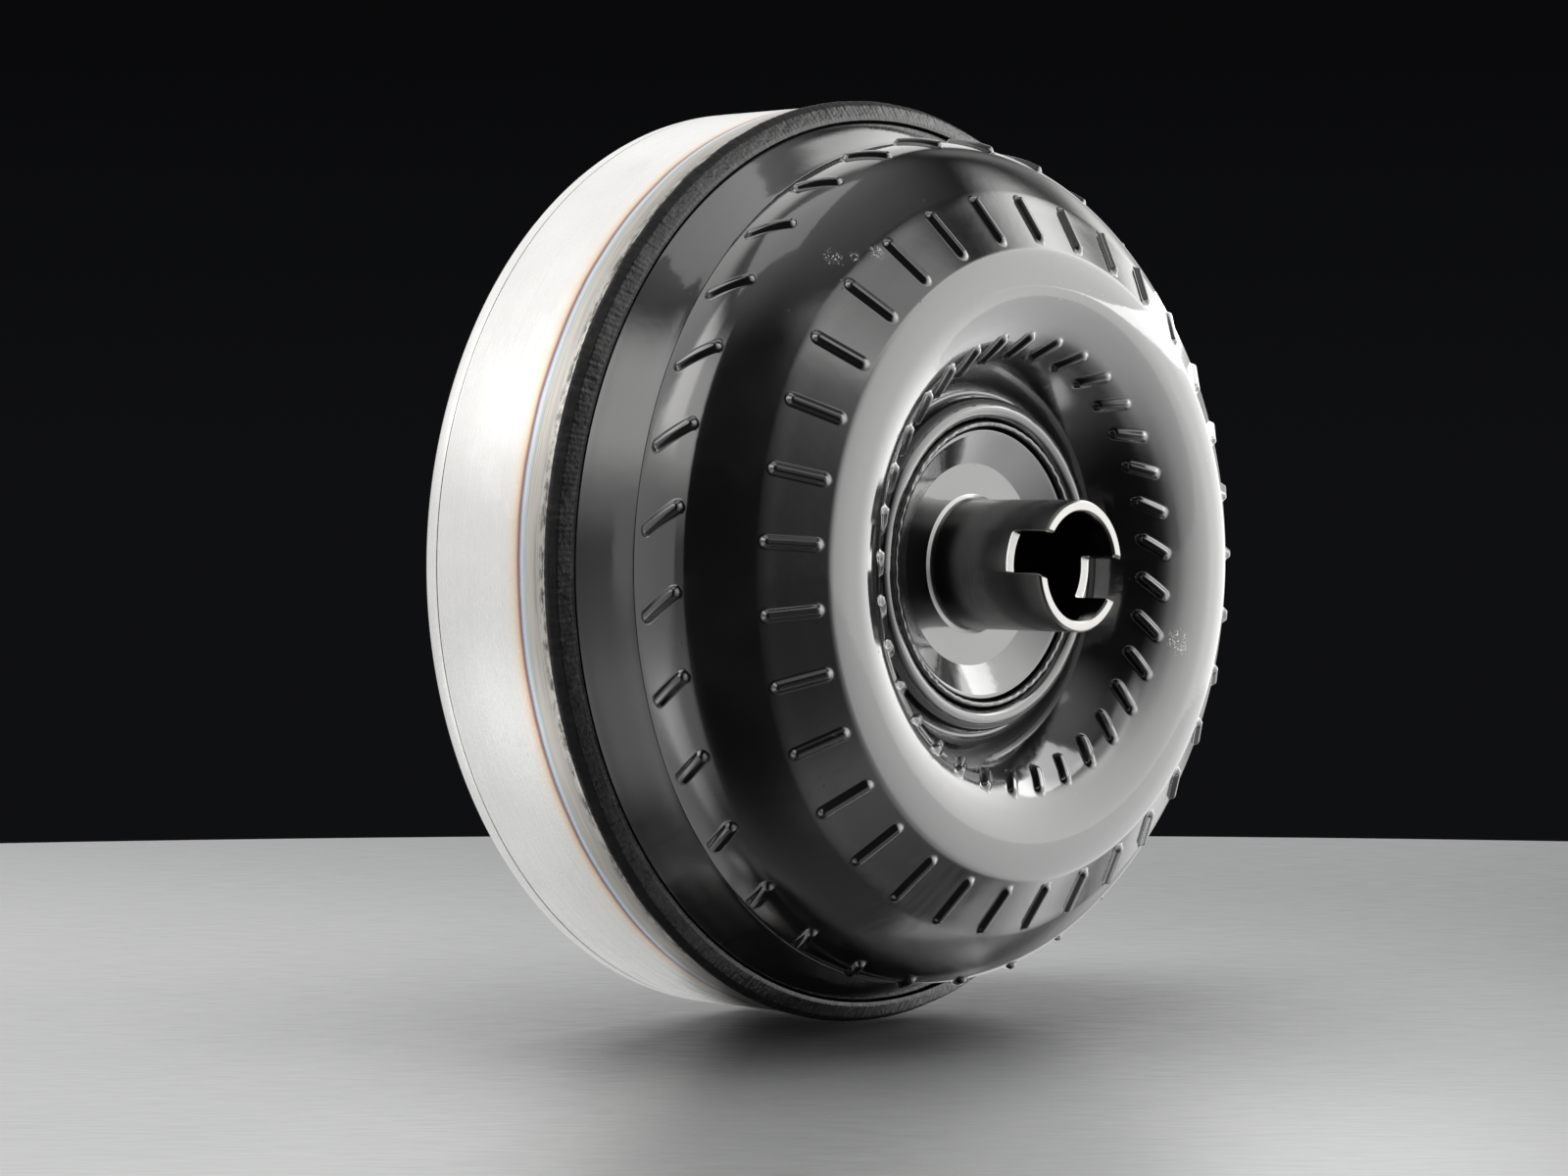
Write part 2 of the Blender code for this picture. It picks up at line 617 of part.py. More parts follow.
def build_piston():
    """Lock-up piston, its friction lining, and the thrust washer inside the cover."""
    revolve("piston_plate", [
        (30.6, 136.2), (36.0, 136.2), (38.5, 138.0), (149.4, 138.0), (149.4, 131.0),
        (152.4, 131.0), (152.4, 141.0), (30.6, 141.0)], STAMPED)
    revolve("friction_lining", [(124.0, 141.3), (149.5, 141.3), (149.5, 143.5),
                                (124.0, 143.5)], FRICTION)
    revolve("cover_thrust_washer", [(19.5, 142.9), (28.6, 142.9), (28.6, 144.7),
                                    (19.5, 144.7)], BRONZE, steps=24)


# ---------------------------------------------------------------------- stator
STATOR_REAR = 61.0
STATOR_FRONT = 88.0
STATOR_MID = (STATOR_REAR + STATOR_FRONT) / 2
STATOR_BLADES = 15
BLADE_AX = 74.8
BLADE_THICKNESS = 0.85  # scale on the section's second column
# (along the chord, across it)
BLADE_SECTION = ((-12.5, 0.6), (-5.0, 4.4), (12.5, 1.2), (0.0, -0.6))
# root and tip: (radius, chord scale, twist from the axial direction)
BLADE_ENDS = ((60.0, 0.92, 38.0), (87.6, 0.62, 44.0))
CAP_DEPTH = 3.25


def blade_mesh(base):
    """One stator blade, twisted between its root and tip sections."""
    mesh = bmesh.new()
    rings = []
    for radius, chord, twist_deg in BLADE_ENDS:
        twist = math.radians(twist_deg)
        ring = []
        for along, across in BLADE_SECTION:
            along, across = along * chord, across * BLADE_THICKNESS
            axial = along * math.cos(twist) - across * math.sin(twist)
            arc = along * math.sin(twist) + across * math.cos(twist)
            ring.append(mesh.verts.new(
                at(radius, base + math.degrees(arc / radius), BLADE_AX + axial)))
        rings.append(ring)
    root, tip = rings
    for i in range(len(root)):
        j = (i + 1) % len(root)
        mesh.faces.new([root[i], root[j], tip[j], tip[i]])
    mesh.faces.new(root)
    mesh.faces.new(tip[::-1])
    bmesh.ops.triangulate(mesh, faces=mesh.faces[:])
    bmesh.ops.recalc_face_normals(mesh, faces=mesh.faces[:])
    return mesh


def build_stator_wheel():
    wheel = revolve("stator_wheel", [
        (44.8, STATOR_REAR), (58.0, STATOR_REAR), (61.8, 65.5), (61.8, 83.5),
        (58.0, STATOR_FRONT), (44.8, STATOR_FRONT)], ALU, steps=30)
    blades = join([blade_mesh(deg) for deg in spaced(STATOR_BLADES)])
    boolean_mesh(wheel, "blade_tool", blades, "UNION")
    # ring round the blade tips
    tip_ring = revolve("stator_core_tool", [(86.6, 69.8), (89.4, 69.8), (89.4, 81.6),
                                            (86.6, 81.6)], ALU, steps=30)
    boolean(wheel, tip_ring, "UNION")


def build_stator_caps():
    for name, rear in (("stator_rear_cap", STATOR_REAR),
                       ("stator_front_cap", STATOR_FRONT - CAP_DEPTH)):
        front = rear + CAP_DEPTH
        revolve(name, [(31.0, rear), (44.2, rear), (44.2, front), (31.0, front)], ALU, steps=30)


# -------------------------------------------------------------- one-way clutch
ROLLERS = 6
ROLLER_R = 4.0
RACE_R = 30.0           # inner race outside radius
ROLLER_CIRCLE_R = RACE_R + ROLLER_R + 0.25
# one ramped pocket of the outer race: (angle from its roller, radius)
POCKET = ((-26.0, 31.2), (-8.5, 31.2), (-8.0, 38.55), (8.0, 39.2), (22.0, 39.2), (23.0, 31.2))
OUTER_RACE_W = 19.8
INNER_RACE_W = 27.2
ROLLER_LENGTH = 18.6
LEAF_W = 16.0
LEAF_HALF_T = 0.30
LEAF_FOLDS = 6
LEAF_RADII = (32.6, 37.2)   # the zigzag's inner and outer bends
LEAF_ANGLES = (7.9, 21.3)   # its two ends, measured from the roller
LEAF_CIRCLE_R = 35.0        # radius of the object's origin


def stator_span(width):
    """Rear and front stations of a part centred in the stator."""
    return STATOR_MID - width / 2, STATOR_MID + width / 2


def build_clutch_races():
    pockets = [polar(radius, math.radians(mid + offset))
               for mid in spaced(ROLLERS) for offset, radius in POCKET]
    outer = prism_mesh([circle(44.2, 36), pockets], *stator_span(OUTER_RACE_W))
    make_object("clutch_outer_race", outer, HARD)
    inner = prism_mesh([circle(RACE_R, 32), spline_outline(22.3, 20.8, 14)],
                       *stator_span(INNER_RACE_W))
    make_object("clutch_inner_race", inner, HARD)


def build_clutch_rollers():
    rear, front = stator_span(ROLLER_LENGTH)
    profile = [(0, rear), (ROLLER_R, rear), (ROLLER_R, front), (0, front)]
    for k, deg in enumerate(spaced(ROLLERS)):
        make_object("clutch_roller_%d" % (k + 1),
                    pin_mesh(profile, 12, ROLLER_CIRCLE_R, deg), HARD,
                    origin=at(ROLLER_CIRCLE_R, deg, STATOR_MID))


def build_clutch_springs():
    """Folded leaf spring between each roller and its pocket's far wall."""
    first, last = LEAF_ANGLES
    for k, mid in enumerate(spaced(ROLLERS)):
        outer, inner = [], []
        for i in range(LEAF_FOLDS + 1):
            angle = math.radians(mid + first + (last - first) * i / LEAF_FOLDS)
            radius = LEAF_RADII[i % 2]
            outer.append(polar(radius + LEAF_HALF_T, angle))
            inner.append(polar(radius - LEAF_HALF_T, angle))
        make_object("clutch_spring_%d" % (k + 1),
                    prism_mesh([outer + inner[::-1]], *stator_span(LEAF_W)), SPRING,
                    origin=at(LEAF_CIRCLE_R, mid + (first + last) / 2, STATOR_MID),
                    smooth=False)


# ------------------------------------------------------------- thrust bearings
BEARING_BORE_R = 29.0
CAGE_HALF_T = 0.7
NEEDLES = 12
NEEDLE_MARGIN = 3.0     # cage width less needle length


def thrust_bearing(name, outer_r, rear, front):
    """Caged needle thrust bearing: a flat cage with its needles standing proud."""
    mid = (rear + front) / 2
    needle_r = (front - rear) / 2
    cage = make_object(name, prism_mesh([circle(outer_r, 24), circle(BEARING_BORE_R, 24)],
                                        mid - CAGE_HALF_T, mid + CAGE_HALF_T), CAGE)
    needles = []
    for deg in spaced(NEEDLES):
        angle = math.radians(deg)
        mesh = bmesh.new()
        bmesh.ops.create_cone(mesh, cap_ends=True, segments=4, radius1=needle_r * MM,
                              radius2=needle_r * MM,
                              depth=(outer_r - BEARING_BORE_R - NEEDLE_MARGIN) * MM)
        frame = frame_along(at((BEARING_BORE_R + outer_r) / 2, deg, mid),
                            (math.cos(angle), 0.0, math.sin(angle)))
        bmesh.ops.transform(mesh, matrix=frame, verts=mesh.verts[:])
        needles.append(mesh)
    tool = make_object(name + "_needle_tool", join(needles), HARD, smooth=False)
    boolean(cage, tool, "UNION")


# -------------------------------------------------------------------- assembly
build_impeller_shell()
build_front_cover()
build_crank_pilot()
build_drive_lugs()
build_balance_weight()
build_cover_weld()
build_impeller_hub()
build_hub_weld()
build_impeller_vane_ring()
turbine_shell = build_turbine_shell()
build_turbine_vane_ring()
turbine_hub = build_turbine_hub()
build_rivets(turbine_hub, turbine_shell)
build_piston_seal()
build_damper_driven_plate()
build_damper_retainer()
build_damper_springs()
build_piston()
build_stator_wheel()
build_clutch_races()
build_clutch_rollers()
build_clutch_springs()
build_stator_caps()
thrust_bearing("rear_thrust_bearing", outer_r=42.0, rear=56.95, front=60.5)
thrust_bearing("front_thrust_bearing", outer_r=41.0, rear=88.5, front=92.05)
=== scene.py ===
"""Looks of the torque converter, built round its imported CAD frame.

Axis of rotation: world Y, engine side +Y, hub nose -Y.  Design lengths are in
millimetres; "ax" is the distance along the axis from the hub's tip, so world
Y = (ax - 175) / 1000.  Materials, stage and camera are in metres.
"""

from functools import cached_property
import math

import bmesh
import bpy
import numpy as np
from mathutils import Matrix, Vector
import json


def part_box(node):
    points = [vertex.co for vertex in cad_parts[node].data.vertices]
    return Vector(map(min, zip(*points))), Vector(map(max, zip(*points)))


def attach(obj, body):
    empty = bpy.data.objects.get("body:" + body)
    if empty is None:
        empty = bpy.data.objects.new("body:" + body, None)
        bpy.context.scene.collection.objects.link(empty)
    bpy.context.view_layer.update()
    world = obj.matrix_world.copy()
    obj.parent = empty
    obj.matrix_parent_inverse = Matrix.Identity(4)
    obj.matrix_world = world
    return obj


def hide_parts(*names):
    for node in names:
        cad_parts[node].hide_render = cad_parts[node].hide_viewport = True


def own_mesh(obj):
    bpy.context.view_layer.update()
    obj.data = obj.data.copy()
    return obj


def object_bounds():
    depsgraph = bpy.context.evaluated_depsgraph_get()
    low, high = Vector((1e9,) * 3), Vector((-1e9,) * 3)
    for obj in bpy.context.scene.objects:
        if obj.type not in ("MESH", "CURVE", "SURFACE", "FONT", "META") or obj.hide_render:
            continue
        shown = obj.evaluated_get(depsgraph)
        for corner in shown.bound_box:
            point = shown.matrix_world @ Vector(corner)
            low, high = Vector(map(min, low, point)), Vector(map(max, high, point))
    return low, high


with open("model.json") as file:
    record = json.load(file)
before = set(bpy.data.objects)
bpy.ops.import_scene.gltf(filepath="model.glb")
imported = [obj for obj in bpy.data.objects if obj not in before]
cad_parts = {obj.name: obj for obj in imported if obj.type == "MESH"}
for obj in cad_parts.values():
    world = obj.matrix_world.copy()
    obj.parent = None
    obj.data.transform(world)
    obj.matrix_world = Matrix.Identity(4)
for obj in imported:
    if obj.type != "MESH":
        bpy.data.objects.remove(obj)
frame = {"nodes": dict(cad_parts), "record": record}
cad_low, cad_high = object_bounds()

TAU = math.tau
HUB_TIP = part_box("impeller_hub")[0].y * 1000       # world Y of the hub's tip, mm


# ------------------------------------------------------------------ mesh tools
def add_object(name, mesh, body, stands_for, slot, sharp, finish=None):
    """Link a smooth-shaded mesh that replaces a CAD node; sharp is in degrees."""
    mesh.shade_smooth()
    mesh.set_sharp_from_angle(angle=math.radians(sharp))
    ob = bpy.data.objects.new(name, mesh)
    bpy.context.scene.collection.objects.link(ob)
    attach(ob, body)
    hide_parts(stands_for)
    mesh.materials.append(finish or FINISHES[slot])
    return ob


def new_mesh(name, verts, faces):
    mesh = bpy.data.meshes.new(name)
    mesh.from_pydata(verts, [], faces)
    mesh.update()
    return mesh


def face_outward(mesh):
    """Flip a closed mesh whose signed volume is negative."""
    points = np.zeros(len(mesh.vertices) * 3)
    mesh.vertices.foreach_get("co", points)
    points = points.reshape(-1, 3)
    mesh.calc_loop_triangles()
    corners = np.zeros(len(mesh.loop_triangles) * 3, np.int32)
    mesh.loop_triangles.foreach_get("vertices", corners)
    a, b, c = (points[corners.reshape(-1, 3)[:, i]] for i in range(3))
    if np.einsum("ij,ij->i", a, np.cross(b, c)).sum() < 0:
        mesh.flip_normals()
    return mesh


def skin(name, radius, axial, angle, loop=True, centre=(0.0, 0.0)):
    """Closed surface from columns round the axis and rows along an outline.

    radius, axial and angle are (columns, rows) arrays in mm, mm and radians.
    loop joins the last row back to the first; otherwise both end rows lie on the axis.
    """
    columns, rows = radius.shape
    points = np.stack([(centre[0] + radius * np.cos(angle)) / 1000,
                       (axial + HUB_TIP) / 1000,
                       (centre[1] + radius * np.sin(angle)) / 1000], -1)
    if loop:
        verts = points.reshape(-1, 3)
        here = np.arange(columns * rows).reshape(columns, rows)
        beside = np.roll(here, -1, 0)
        quads = np.stack([here, np.roll(here, -1, 1), np.roll(beside, -1, 1), beside], -1)
        faces = quads.reshape(-1, 4).tolist()
    else:
        rows -= 2
        verts = np.vstack([points[:, 1:-1].reshape(-1, 3), points[:1, 0], points[:1, -1]])
        here = np.arange(columns * rows).reshape(columns, rows)
        beside = np.roll(here, -1, 0)
        quads = np.stack([here[:, :-1], here[:, 1:], beside[:, 1:], beside[:, :-1]], -1)
        faces = quads.reshape(-1, 4).tolist()
        first_pole = columns * rows
        last_pole = first_pole + 1
        faces += [(first_pole, int(here[i, 0]), int(beside[i, 0])) for i in range(columns)]
        faces += [(last_pole, int(beside[i, -1]), int(here[i, -1])) for i in range(columns)]
    return face_outward(new_mesh(name, verts.tolist(), faces))


def rounded(points, loop=True, steps=4):
    """Outline with its corners rounded; a point is (r, ax) or (r, ax, radius)."""
    out = []
    count = len(points)
    for i, point in enumerate(points):
        wanted = point[2] if len(point) > 2 else 0.0
        if wanted <= 0 or (not loop and i in (0, count - 1)):
            out.append(point[:2])
            continue
        before, corner, after = (np.array(points[q % count][:2], float)
                                 for q in (i - 1, i, i + 1))
        len_in = np.linalg.norm(before - corner)
        len_out = np.linalg.norm(after - corner)
        dir_in = (before - corner) / len_in
        dir_out = (after - corner) / len_out
        half = math.acos(float(np.clip(dir_in @ dir_out, -1, 1))) / 2
        if math.pi / 2 - half < 0.02:                # nearly straight: nothing to round
            out.append(point[:2])
            continue
        setback = min(wanted / math.tan(half), 0.48 * len_in, 0.48 * len_out)
        radius = setback * math.tan(half)
        bisector = dir_in + dir_out
        centre = corner + bisector / np.linalg.norm(bisector) * (radius / math.sin(half))
        start = corner + dir_in * setback - centre
        end = corner + dir_out * setback - centre
        sweep = math.acos(float(np.clip(start @ end / radius ** 2, -1, 1)))
        for q in range(steps + 1):
            f = q / steps
            spot = (math.sin((1 - f) * sweep) * start
                    + math.sin(f * sweep) * end) / math.sin(sweep) + centre
            out.append((float(spot[0]), float(spot[1])))
    return out


def spline(points, step):
    """Natural cubic through (r, ax) points, sampled about every step by chord length."""
    knots = np.array(points, float)
    chord = np.linalg.norm(np.diff(knots, axis=0), axis=1)
    along = np.concatenate([[0], np.cumsum(chord)])
    count = len(knots)
    gap = np.diff(along)
    matrix = np.zeros((count, count))
    target = np.zeros((count, 2))
    matrix[0, 0] = matrix[-1, -1] = 1
    for i in range(1, count - 1):
        matrix[i, i - 1:i + 2] = gap[i - 1], 2 * (gap[i - 1] + gap[i]), gap[i]
        target[i] = 6 * ((knots[i + 1] - knots[i]) / gap[i]
                         - (knots[i] - knots[i - 1]) / gap[i - 1])
    bend = np.linalg.solve(matrix, target)
    place = np.linspace(0, along[-1], int(math.ceil(along[-1] / step)) + 1)
    j = np.clip(np.searchsorted(along, place, side="right") - 1, 0, count - 2)
    a = (along[j + 1] - place) / gap[j]
    b = (place - along[j]) / gap[j]
    return (a[:, None] * knots[j] + b[:, None] * knots[j + 1]
            + ((a ** 3 - a)[:, None] * bend[j] + (b ** 3 - b)[:, None] * bend[j + 1])
            * (gap[j] ** 2)[:, None] / 6)


def turned(name, outline, columns, loop=True, warp=None, centre=(0.0, 0.0)):
    """Revolved outline; warp(angle, radius, axial) may move the surface round the axis."""
    points = np.array(outline, float)
    radius = np.tile(points[:, 0], (columns, 1))
    axial = np.tile(points[:, 1], (columns, 1))
    angle = np.tile((np.arange(columns) * TAU / columns)[:, None], (1, len(points)))
    if warp:
        radius, axial = warp(angle, radius, axial)
    return skin(name, radius, axial, angle, loop, centre)


def wave(angle, terms, seed, low, high):
    """Periodic random wave round the axis, within about -1..1.

    Each term has a whole number of cycles, from low up to but not including high.
    """
    draw = np.random.default_rng(seed)
    out = np.zeros_like(angle)
    for _ in range(terms):
        out += (draw.uniform(0.4, 1)
                * np.cos(int(draw.integers(low, high)) * angle + draw.uniform(0, TAU)))
    return out / (0.55 * terms) ** 0.5 / 1.4


def smoothstep(start, end, value):
    t = np.clip((value - start) / (end - start), 0, 1)
    return t * t * (3 - 2 * t)


# ------------------------------------------------------------- material tools
class Nodes:
    """Short calls that add nodes to a shader tree; numbers and sockets both serve as inputs."""

    def __init__(self, tree, coordinates):
        self.tree = tree
        self.coords = self.node("TexCoord").outputs[coordinates]

    def node(self, kind, **props):
        node = self.tree.nodes.new("ShaderNode" + kind)
        for key, value in props.items():
            setattr(node, key, value)
        return node

    def put(self, socket, value):
        """Link a socket or set a value; a colour of three gets its alpha."""
        if isinstance(value, bpy.types.NodeSocket):
            self.tree.links.new(value, socket)
        elif isinstance(value, tuple) and socket.type == "RGBA":
            socket.default_value = (*value, 1.0)
        else:
            socket.default_value = value

    def math(self, operation, *values):
        node = self.node("Math", operation=operation)
        for i, value in enumerate(values):
            self.put(node.inputs[i], value)
        return node.outputs[0]

    def add(self, a, b):
        return self.math("ADD", a, b)

    def sub(self, a, b):
        return self.math("SUBTRACT", a, b)

    def mul(self, a, b):
        return self.math("MULTIPLY", a, b)

    @cached_property
    def xyz(self):
        separate = self.node("SeparateXYZ")
        self.put(separate.inputs[0], self.coords)
        return separate.outputs

    @cached_property
    def radius(self):
        """Distance from the Y axis."""
        x, _, z = self.xyz
        return self.math("SQRT", self.add(self.mul(x, x), self.mul(z, z)))

    def axial(self):
        """The design's ax, in mm."""
        return self.sub(self.mul(self.xyz[1], 1000.0), HUB_TIP)

    def vec(self, *parts):
        combine = self.node("CombineXYZ")
        for i, value in enumerate(parts):
            self.put(combine.inputs[i], value)
        return combine.outputs[0]

    def noise(self, vector=None, scale=1.0, detail=3.0, rough=0.55, dist=0.0):
        node = self.node("TexNoise")
        self.put(node.inputs["Vector"], self.coords if vector is None else vector)
        for key, value in (("Scale", scale), ("Detail", detail), ("Roughness", rough),
                           ("Distortion", dist)):
            node.inputs[key].default_value = value
        return node.outputs["Fac"]

    def lines(self, across, fine, along, **noise):
        """Noise drawn out round the axis: fine scales the coordinate the lines step over."""
        x, _, z = self.xyz
        return self.noise(self.vec(self.mul(x, along), self.mul(across, fine),
                                   self.mul(z, along)), **noise)

    def voronoi(self, scale):
        node = self.node("TexVoronoi")
        self.put(node.inputs["Vector"], self.coords)
        node.inputs["Scale"].default_value = scale
        return node.outputs["Distance"]

    def span(self, value, ends, to=(0.0, 1.0), smooth=True):
        """Map value from the range ends to the range to, clamped."""
        node = self.node("MapRange", interpolation_type="SMOOTHSTEP" if smooth else "LINEAR")
        self.put(node.inputs["Value"], value)
        for key, limit in zip(("From Min", "From Max", "To Min", "To Max"), (*ends, *to)):
            node.inputs[key].default_value = limit
        return node.outputs["Result"]

    def ramp(self, value, stops):
        node = self.node("ValToRGB")
        elements = node.color_ramp.elements
        while len(elements) > 1:
            elements.remove(elements[0])
        elements[0].position = stops[0][0]
        elements[0].color = (*stops[0][1], 1)
        for position, colour in stops[1:]:
            elements.new(position).color = (*colour, 1)
        self.put(node.inputs["Fac"], value)
        return node.outputs["Color"]

    def mix(self, amount, under, over):
        """Colour that goes from under to over as amount goes from 0 to 1."""
        node = self.node("Mix", data_type="RGBA")
        for i, value in ((0, amount), (6, under), (7, over)):
            self.put(node.inputs[i], value)
        return node.outputs[2]

    def bump(self, height, strength, distance, after=None):
        node = self.node("Bump")
        node.inputs["Strength"].default_value = strength
        node.inputs["Distance"].default_value = distance
        self.put(node.inputs["Height"], height)
        if after is not None:
            self.put(node.inputs["Normal"], after)
        return node.outputs["Normal"]


class Mat(Nodes):
    """A new material round its Principled shader."""

    INPUTS = {"base": "Base Color", "rough": "Roughness", "metal": "Metallic", "ior": "IOR",
              "normal": "Normal", "coat": "Coat Weight", "coat_rough": "Coat Roughness",
              "coat_normal": "Coat Normal", "aniso": "Anisotropic", "tangent": "Tangent",
              "spec": "Specular IOR Level", "sheen": "Sheen Weight"}

    def __init__(self, name):
        self.material = bpy.data.materials.new(name)
        self.material.use_nodes = True
        super().__init__(self.material.node_tree, "Object")

    def set(self, **values):
        shader = self.tree.nodes["Principled BSDF"]
        for key, value in values.items():
            self.put(shader.inputs[self.INPUTS[key]], value)
        return self.material

    def edge_wear(self, radius):
        """1 on exposed edges, 0 on flats, from a bevelled normal."""
        bevel = self.node("Bevel", samples=4)
        bevel.inputs["Radius"].default_value = radius
        geometry = self.node("NewGeometry")
        dot = self.node("VectorMath", operation="DOT_PRODUCT")
        self.put(dot.inputs[0], bevel.outputs[0])
        self.put(dot.inputs[1], geometry.outputs["Normal"])
        return self.span(dot.outputs["Value"], ends=(0.995, 0.93))

    def radial_tangent(self):
        return self.node("Tangent", direction_type="RADIAL", axis="Y").outputs[0]


# ------------------------------------------------------------------- materials
# heat colours on the cover's rim: (position, colour), from the weld towards the engine
RIM_HEAT = [
    (0.0, (0.36, 0.35, 0.33)), (0.12, (0.46, 0.44, 0.41)), (0.22, (0.40, 0.385, 0.36)),
    (0.34, (0.50, 0.47, 0.43)), (0.425, (0.46, 0.47, 0.45)), (0.455, (0.46, 0.53, 0.52)),
    (0.485, (0.58, 0.64, 0.70)), (0.515, (0.50, 0.54, 0.64)), (0.54, (0.28, 0.27, 0.36)),
    (0.558, (0.22, 0.14, 0.14)), (0.578, (0.36, 0.23, 0.18)), (0.61, (0.68, 0.50, 0.38)),
    (0.66, (0.78, 0.65, 0.54)), (0.74, (0.79, 0.735, 0.67)), (0.90, (0.77, 0.755, 0.735)),
    (1.0, (0.76, 0.75, 0.735))]
# heat colours on the lugs: (position, colour), from their weld towards their end face
LUG_HEAT = [
    (0.0, (0.10, 0.095, 0.09)), (0.22, (0.20, 0.19, 0.19)), (0.36, (0.22, 0.27, 0.36)),
    (0.48, (0.36, 0.22, 0.16)), (0.62, (0.58, 0.46, 0.32)), (1.0, (0.62, 0.61, 0.60))]
# white scuffs on the shell's paint: (centre, radius) in metres
SCUFFS = [((-0.0868, -0.1366, 0.1052), 0.0042), ((-0.0800, -0.1400, 0.1053), 0.0026),
          ((-0.0718, -0.1428, 0.1068), 0.0036), ((0.0825, -0.1554, -0.0295), 0.0060)]


def make_cover_steel():
    """Turned steel with fine tool lines, a weld heat band and faint handling marks."""
    mat = Mat("cover_turned_steel")
    y = mat.xyz[1]
    rim = mat.span(mat.radius, ends=(0.1615, 0.1645))       # 1 on the rim, 0 on the face
    across = mat.add(mat.mul(y, rim), mat.mul(mat.radius, mat.sub(1.0, rim)))
    fine = mat.lines(across, fine=5200.0, along=5.0, detail=2.0, rough=0.6)
    coarse = mat.lines(across, fine=900.0, along=4.0, detail=2.0, rough=0.5)
    cloud = mat.noise(scale=16.0, detail=4.0, rough=0.6)
    blotch = mat.noise(scale=55.0, detail=5.0, rough=0.65)
    base = mat.mix(mat.span(cloud, ends=(0.35, 0.7)),
                   under=(0.79, 0.785, 0.775), over=(0.74, 0.735, 0.725))
    base = mat.mix(mat.span(coarse, ends=(0.35, 0.75), to=(0.0, 0.10)), base,
                   over=(0.60, 0.595, 0.59))
    base = mat.mix(mat.span(blotch, ends=(0.60, 0.8), to=(0.0, 0.22)), base,
                   over=(0.60, 0.58, 0.55))
    # turned rings and stains on the face
    face = mat.sub(1.0, rim)
    face_rings = mat.lines(mat.radius, fine=260.0, along=2.0, detail=5.0, rough=0.7)
    base = mat.mix(mat.mul(face, mat.span(face_rings, ends=(0.36, 0.70), to=(0.10, 0.62))),
                   base, over=(0.50, 0.495, 0.485))
    stain = mat.noise(scale=9.0, detail=5.0, rough=0.62, dist=0.8)
    base = mat.mix(mat.mul(face, mat.span(stain, ends=(0.52, 0.72), to=(0.0, 0.35))), base,
                   over=(0.46, 0.44, 0.41))
    # heat band on the rim, its edges made uneven by noise, in mm
    axial = mat.axial()
    uneven = mat.mul(mat.sub(mat.noise(scale=20.0, detail=3.0), 0.5), 2.2)
    position = mat.add(axial, uneven)
    band = mat.ramp(mat.span(position, ends=(96.0, 120.0), smooth=False), RIM_HEAT)
    base = mat.mix(mat.mul(rim, mat.span(position, ends=(120.0, 112.5))), base, over=band)
    # dull, streaked strip beside the weld, sooty towards the bead
    strip = mat.mul(mat.span(axial, ends=(108.5, 105.0)), rim)
    streak = mat.lines(y, fine=1500.0, along=26.0, detail=3.0, rough=0.7)
    soot = mat.lines(y, fine=420.0, along=150.0, detail=4.0, rough=0.75)
    base = mat.mix(mat.mul(strip, mat.span(streak, ends=(0.45, 0.70), to=(0.0, 0.55))), base,
                   over=(0.17, 0.16, 0.15))
    near_bead = mat.mul(mat.span(axial, ends=(101.2, 97.6)), rim)
    base = mat.mix(mat.mul(near_bead, mat.span(soot, ends=(0.44, 0.60), to=(0.0, 0.9))), base,
                   over=(0.045, 0.042, 0.04))
    base = mat.mix(mat.mul(mat.edge_wear(radius=0.0009), 0.6), base, over=(0.86, 0.85, 0.84))
    rough = mat.add(mat.span(fine, ends=(0.3, 0.7), to=(0.19, 0.30)),
                    mat.mul(mat.span(blotch, ends=(0.45, 0.75)), 0.10))
    rough = mat.add(rough, mat.mul(strip, 0.12))
    normal = mat.bump(mat.add(fine, mat.mul(coarse, 0.25)), strength=0.035, distance=0.0003)
    scratch = mat.lines(y, fine=26.0, along=160.0, detail=6.0, rough=0.7, dist=1.5)
    normal = mat.bump(mat.span(scratch, ends=(0.66, 0.70)), strength=0.04, distance=0.0003,
                      after=normal)
    return mat.set(base=base, metal=1.0, rough=rough, normal=normal, aniso=0.30,
                   tangent=mat.radial_tangent())


def scuff_mask(mat, spots):
    """Little scuffs near given points, broken up by noise."""
    total = None
    for point, radius in spots:
        distance = mat.node("VectorMath", operation="DISTANCE")
        mat.put(distance.inputs[0], mat.coords)
        distance.inputs[1].default_value = point
        spot = mat.span(distance.outputs["Value"], ends=(radius, radius * 0.3))
        total = spot if total is None else mat.math("MAXIMUM", total, spot)
    fleck = mat.noise(scale=760.0, detail=3.0, rough=0.65, dist=1.4)
    return mat.mul(total, mat.span(fleck, ends=(0.54, 0.60)))


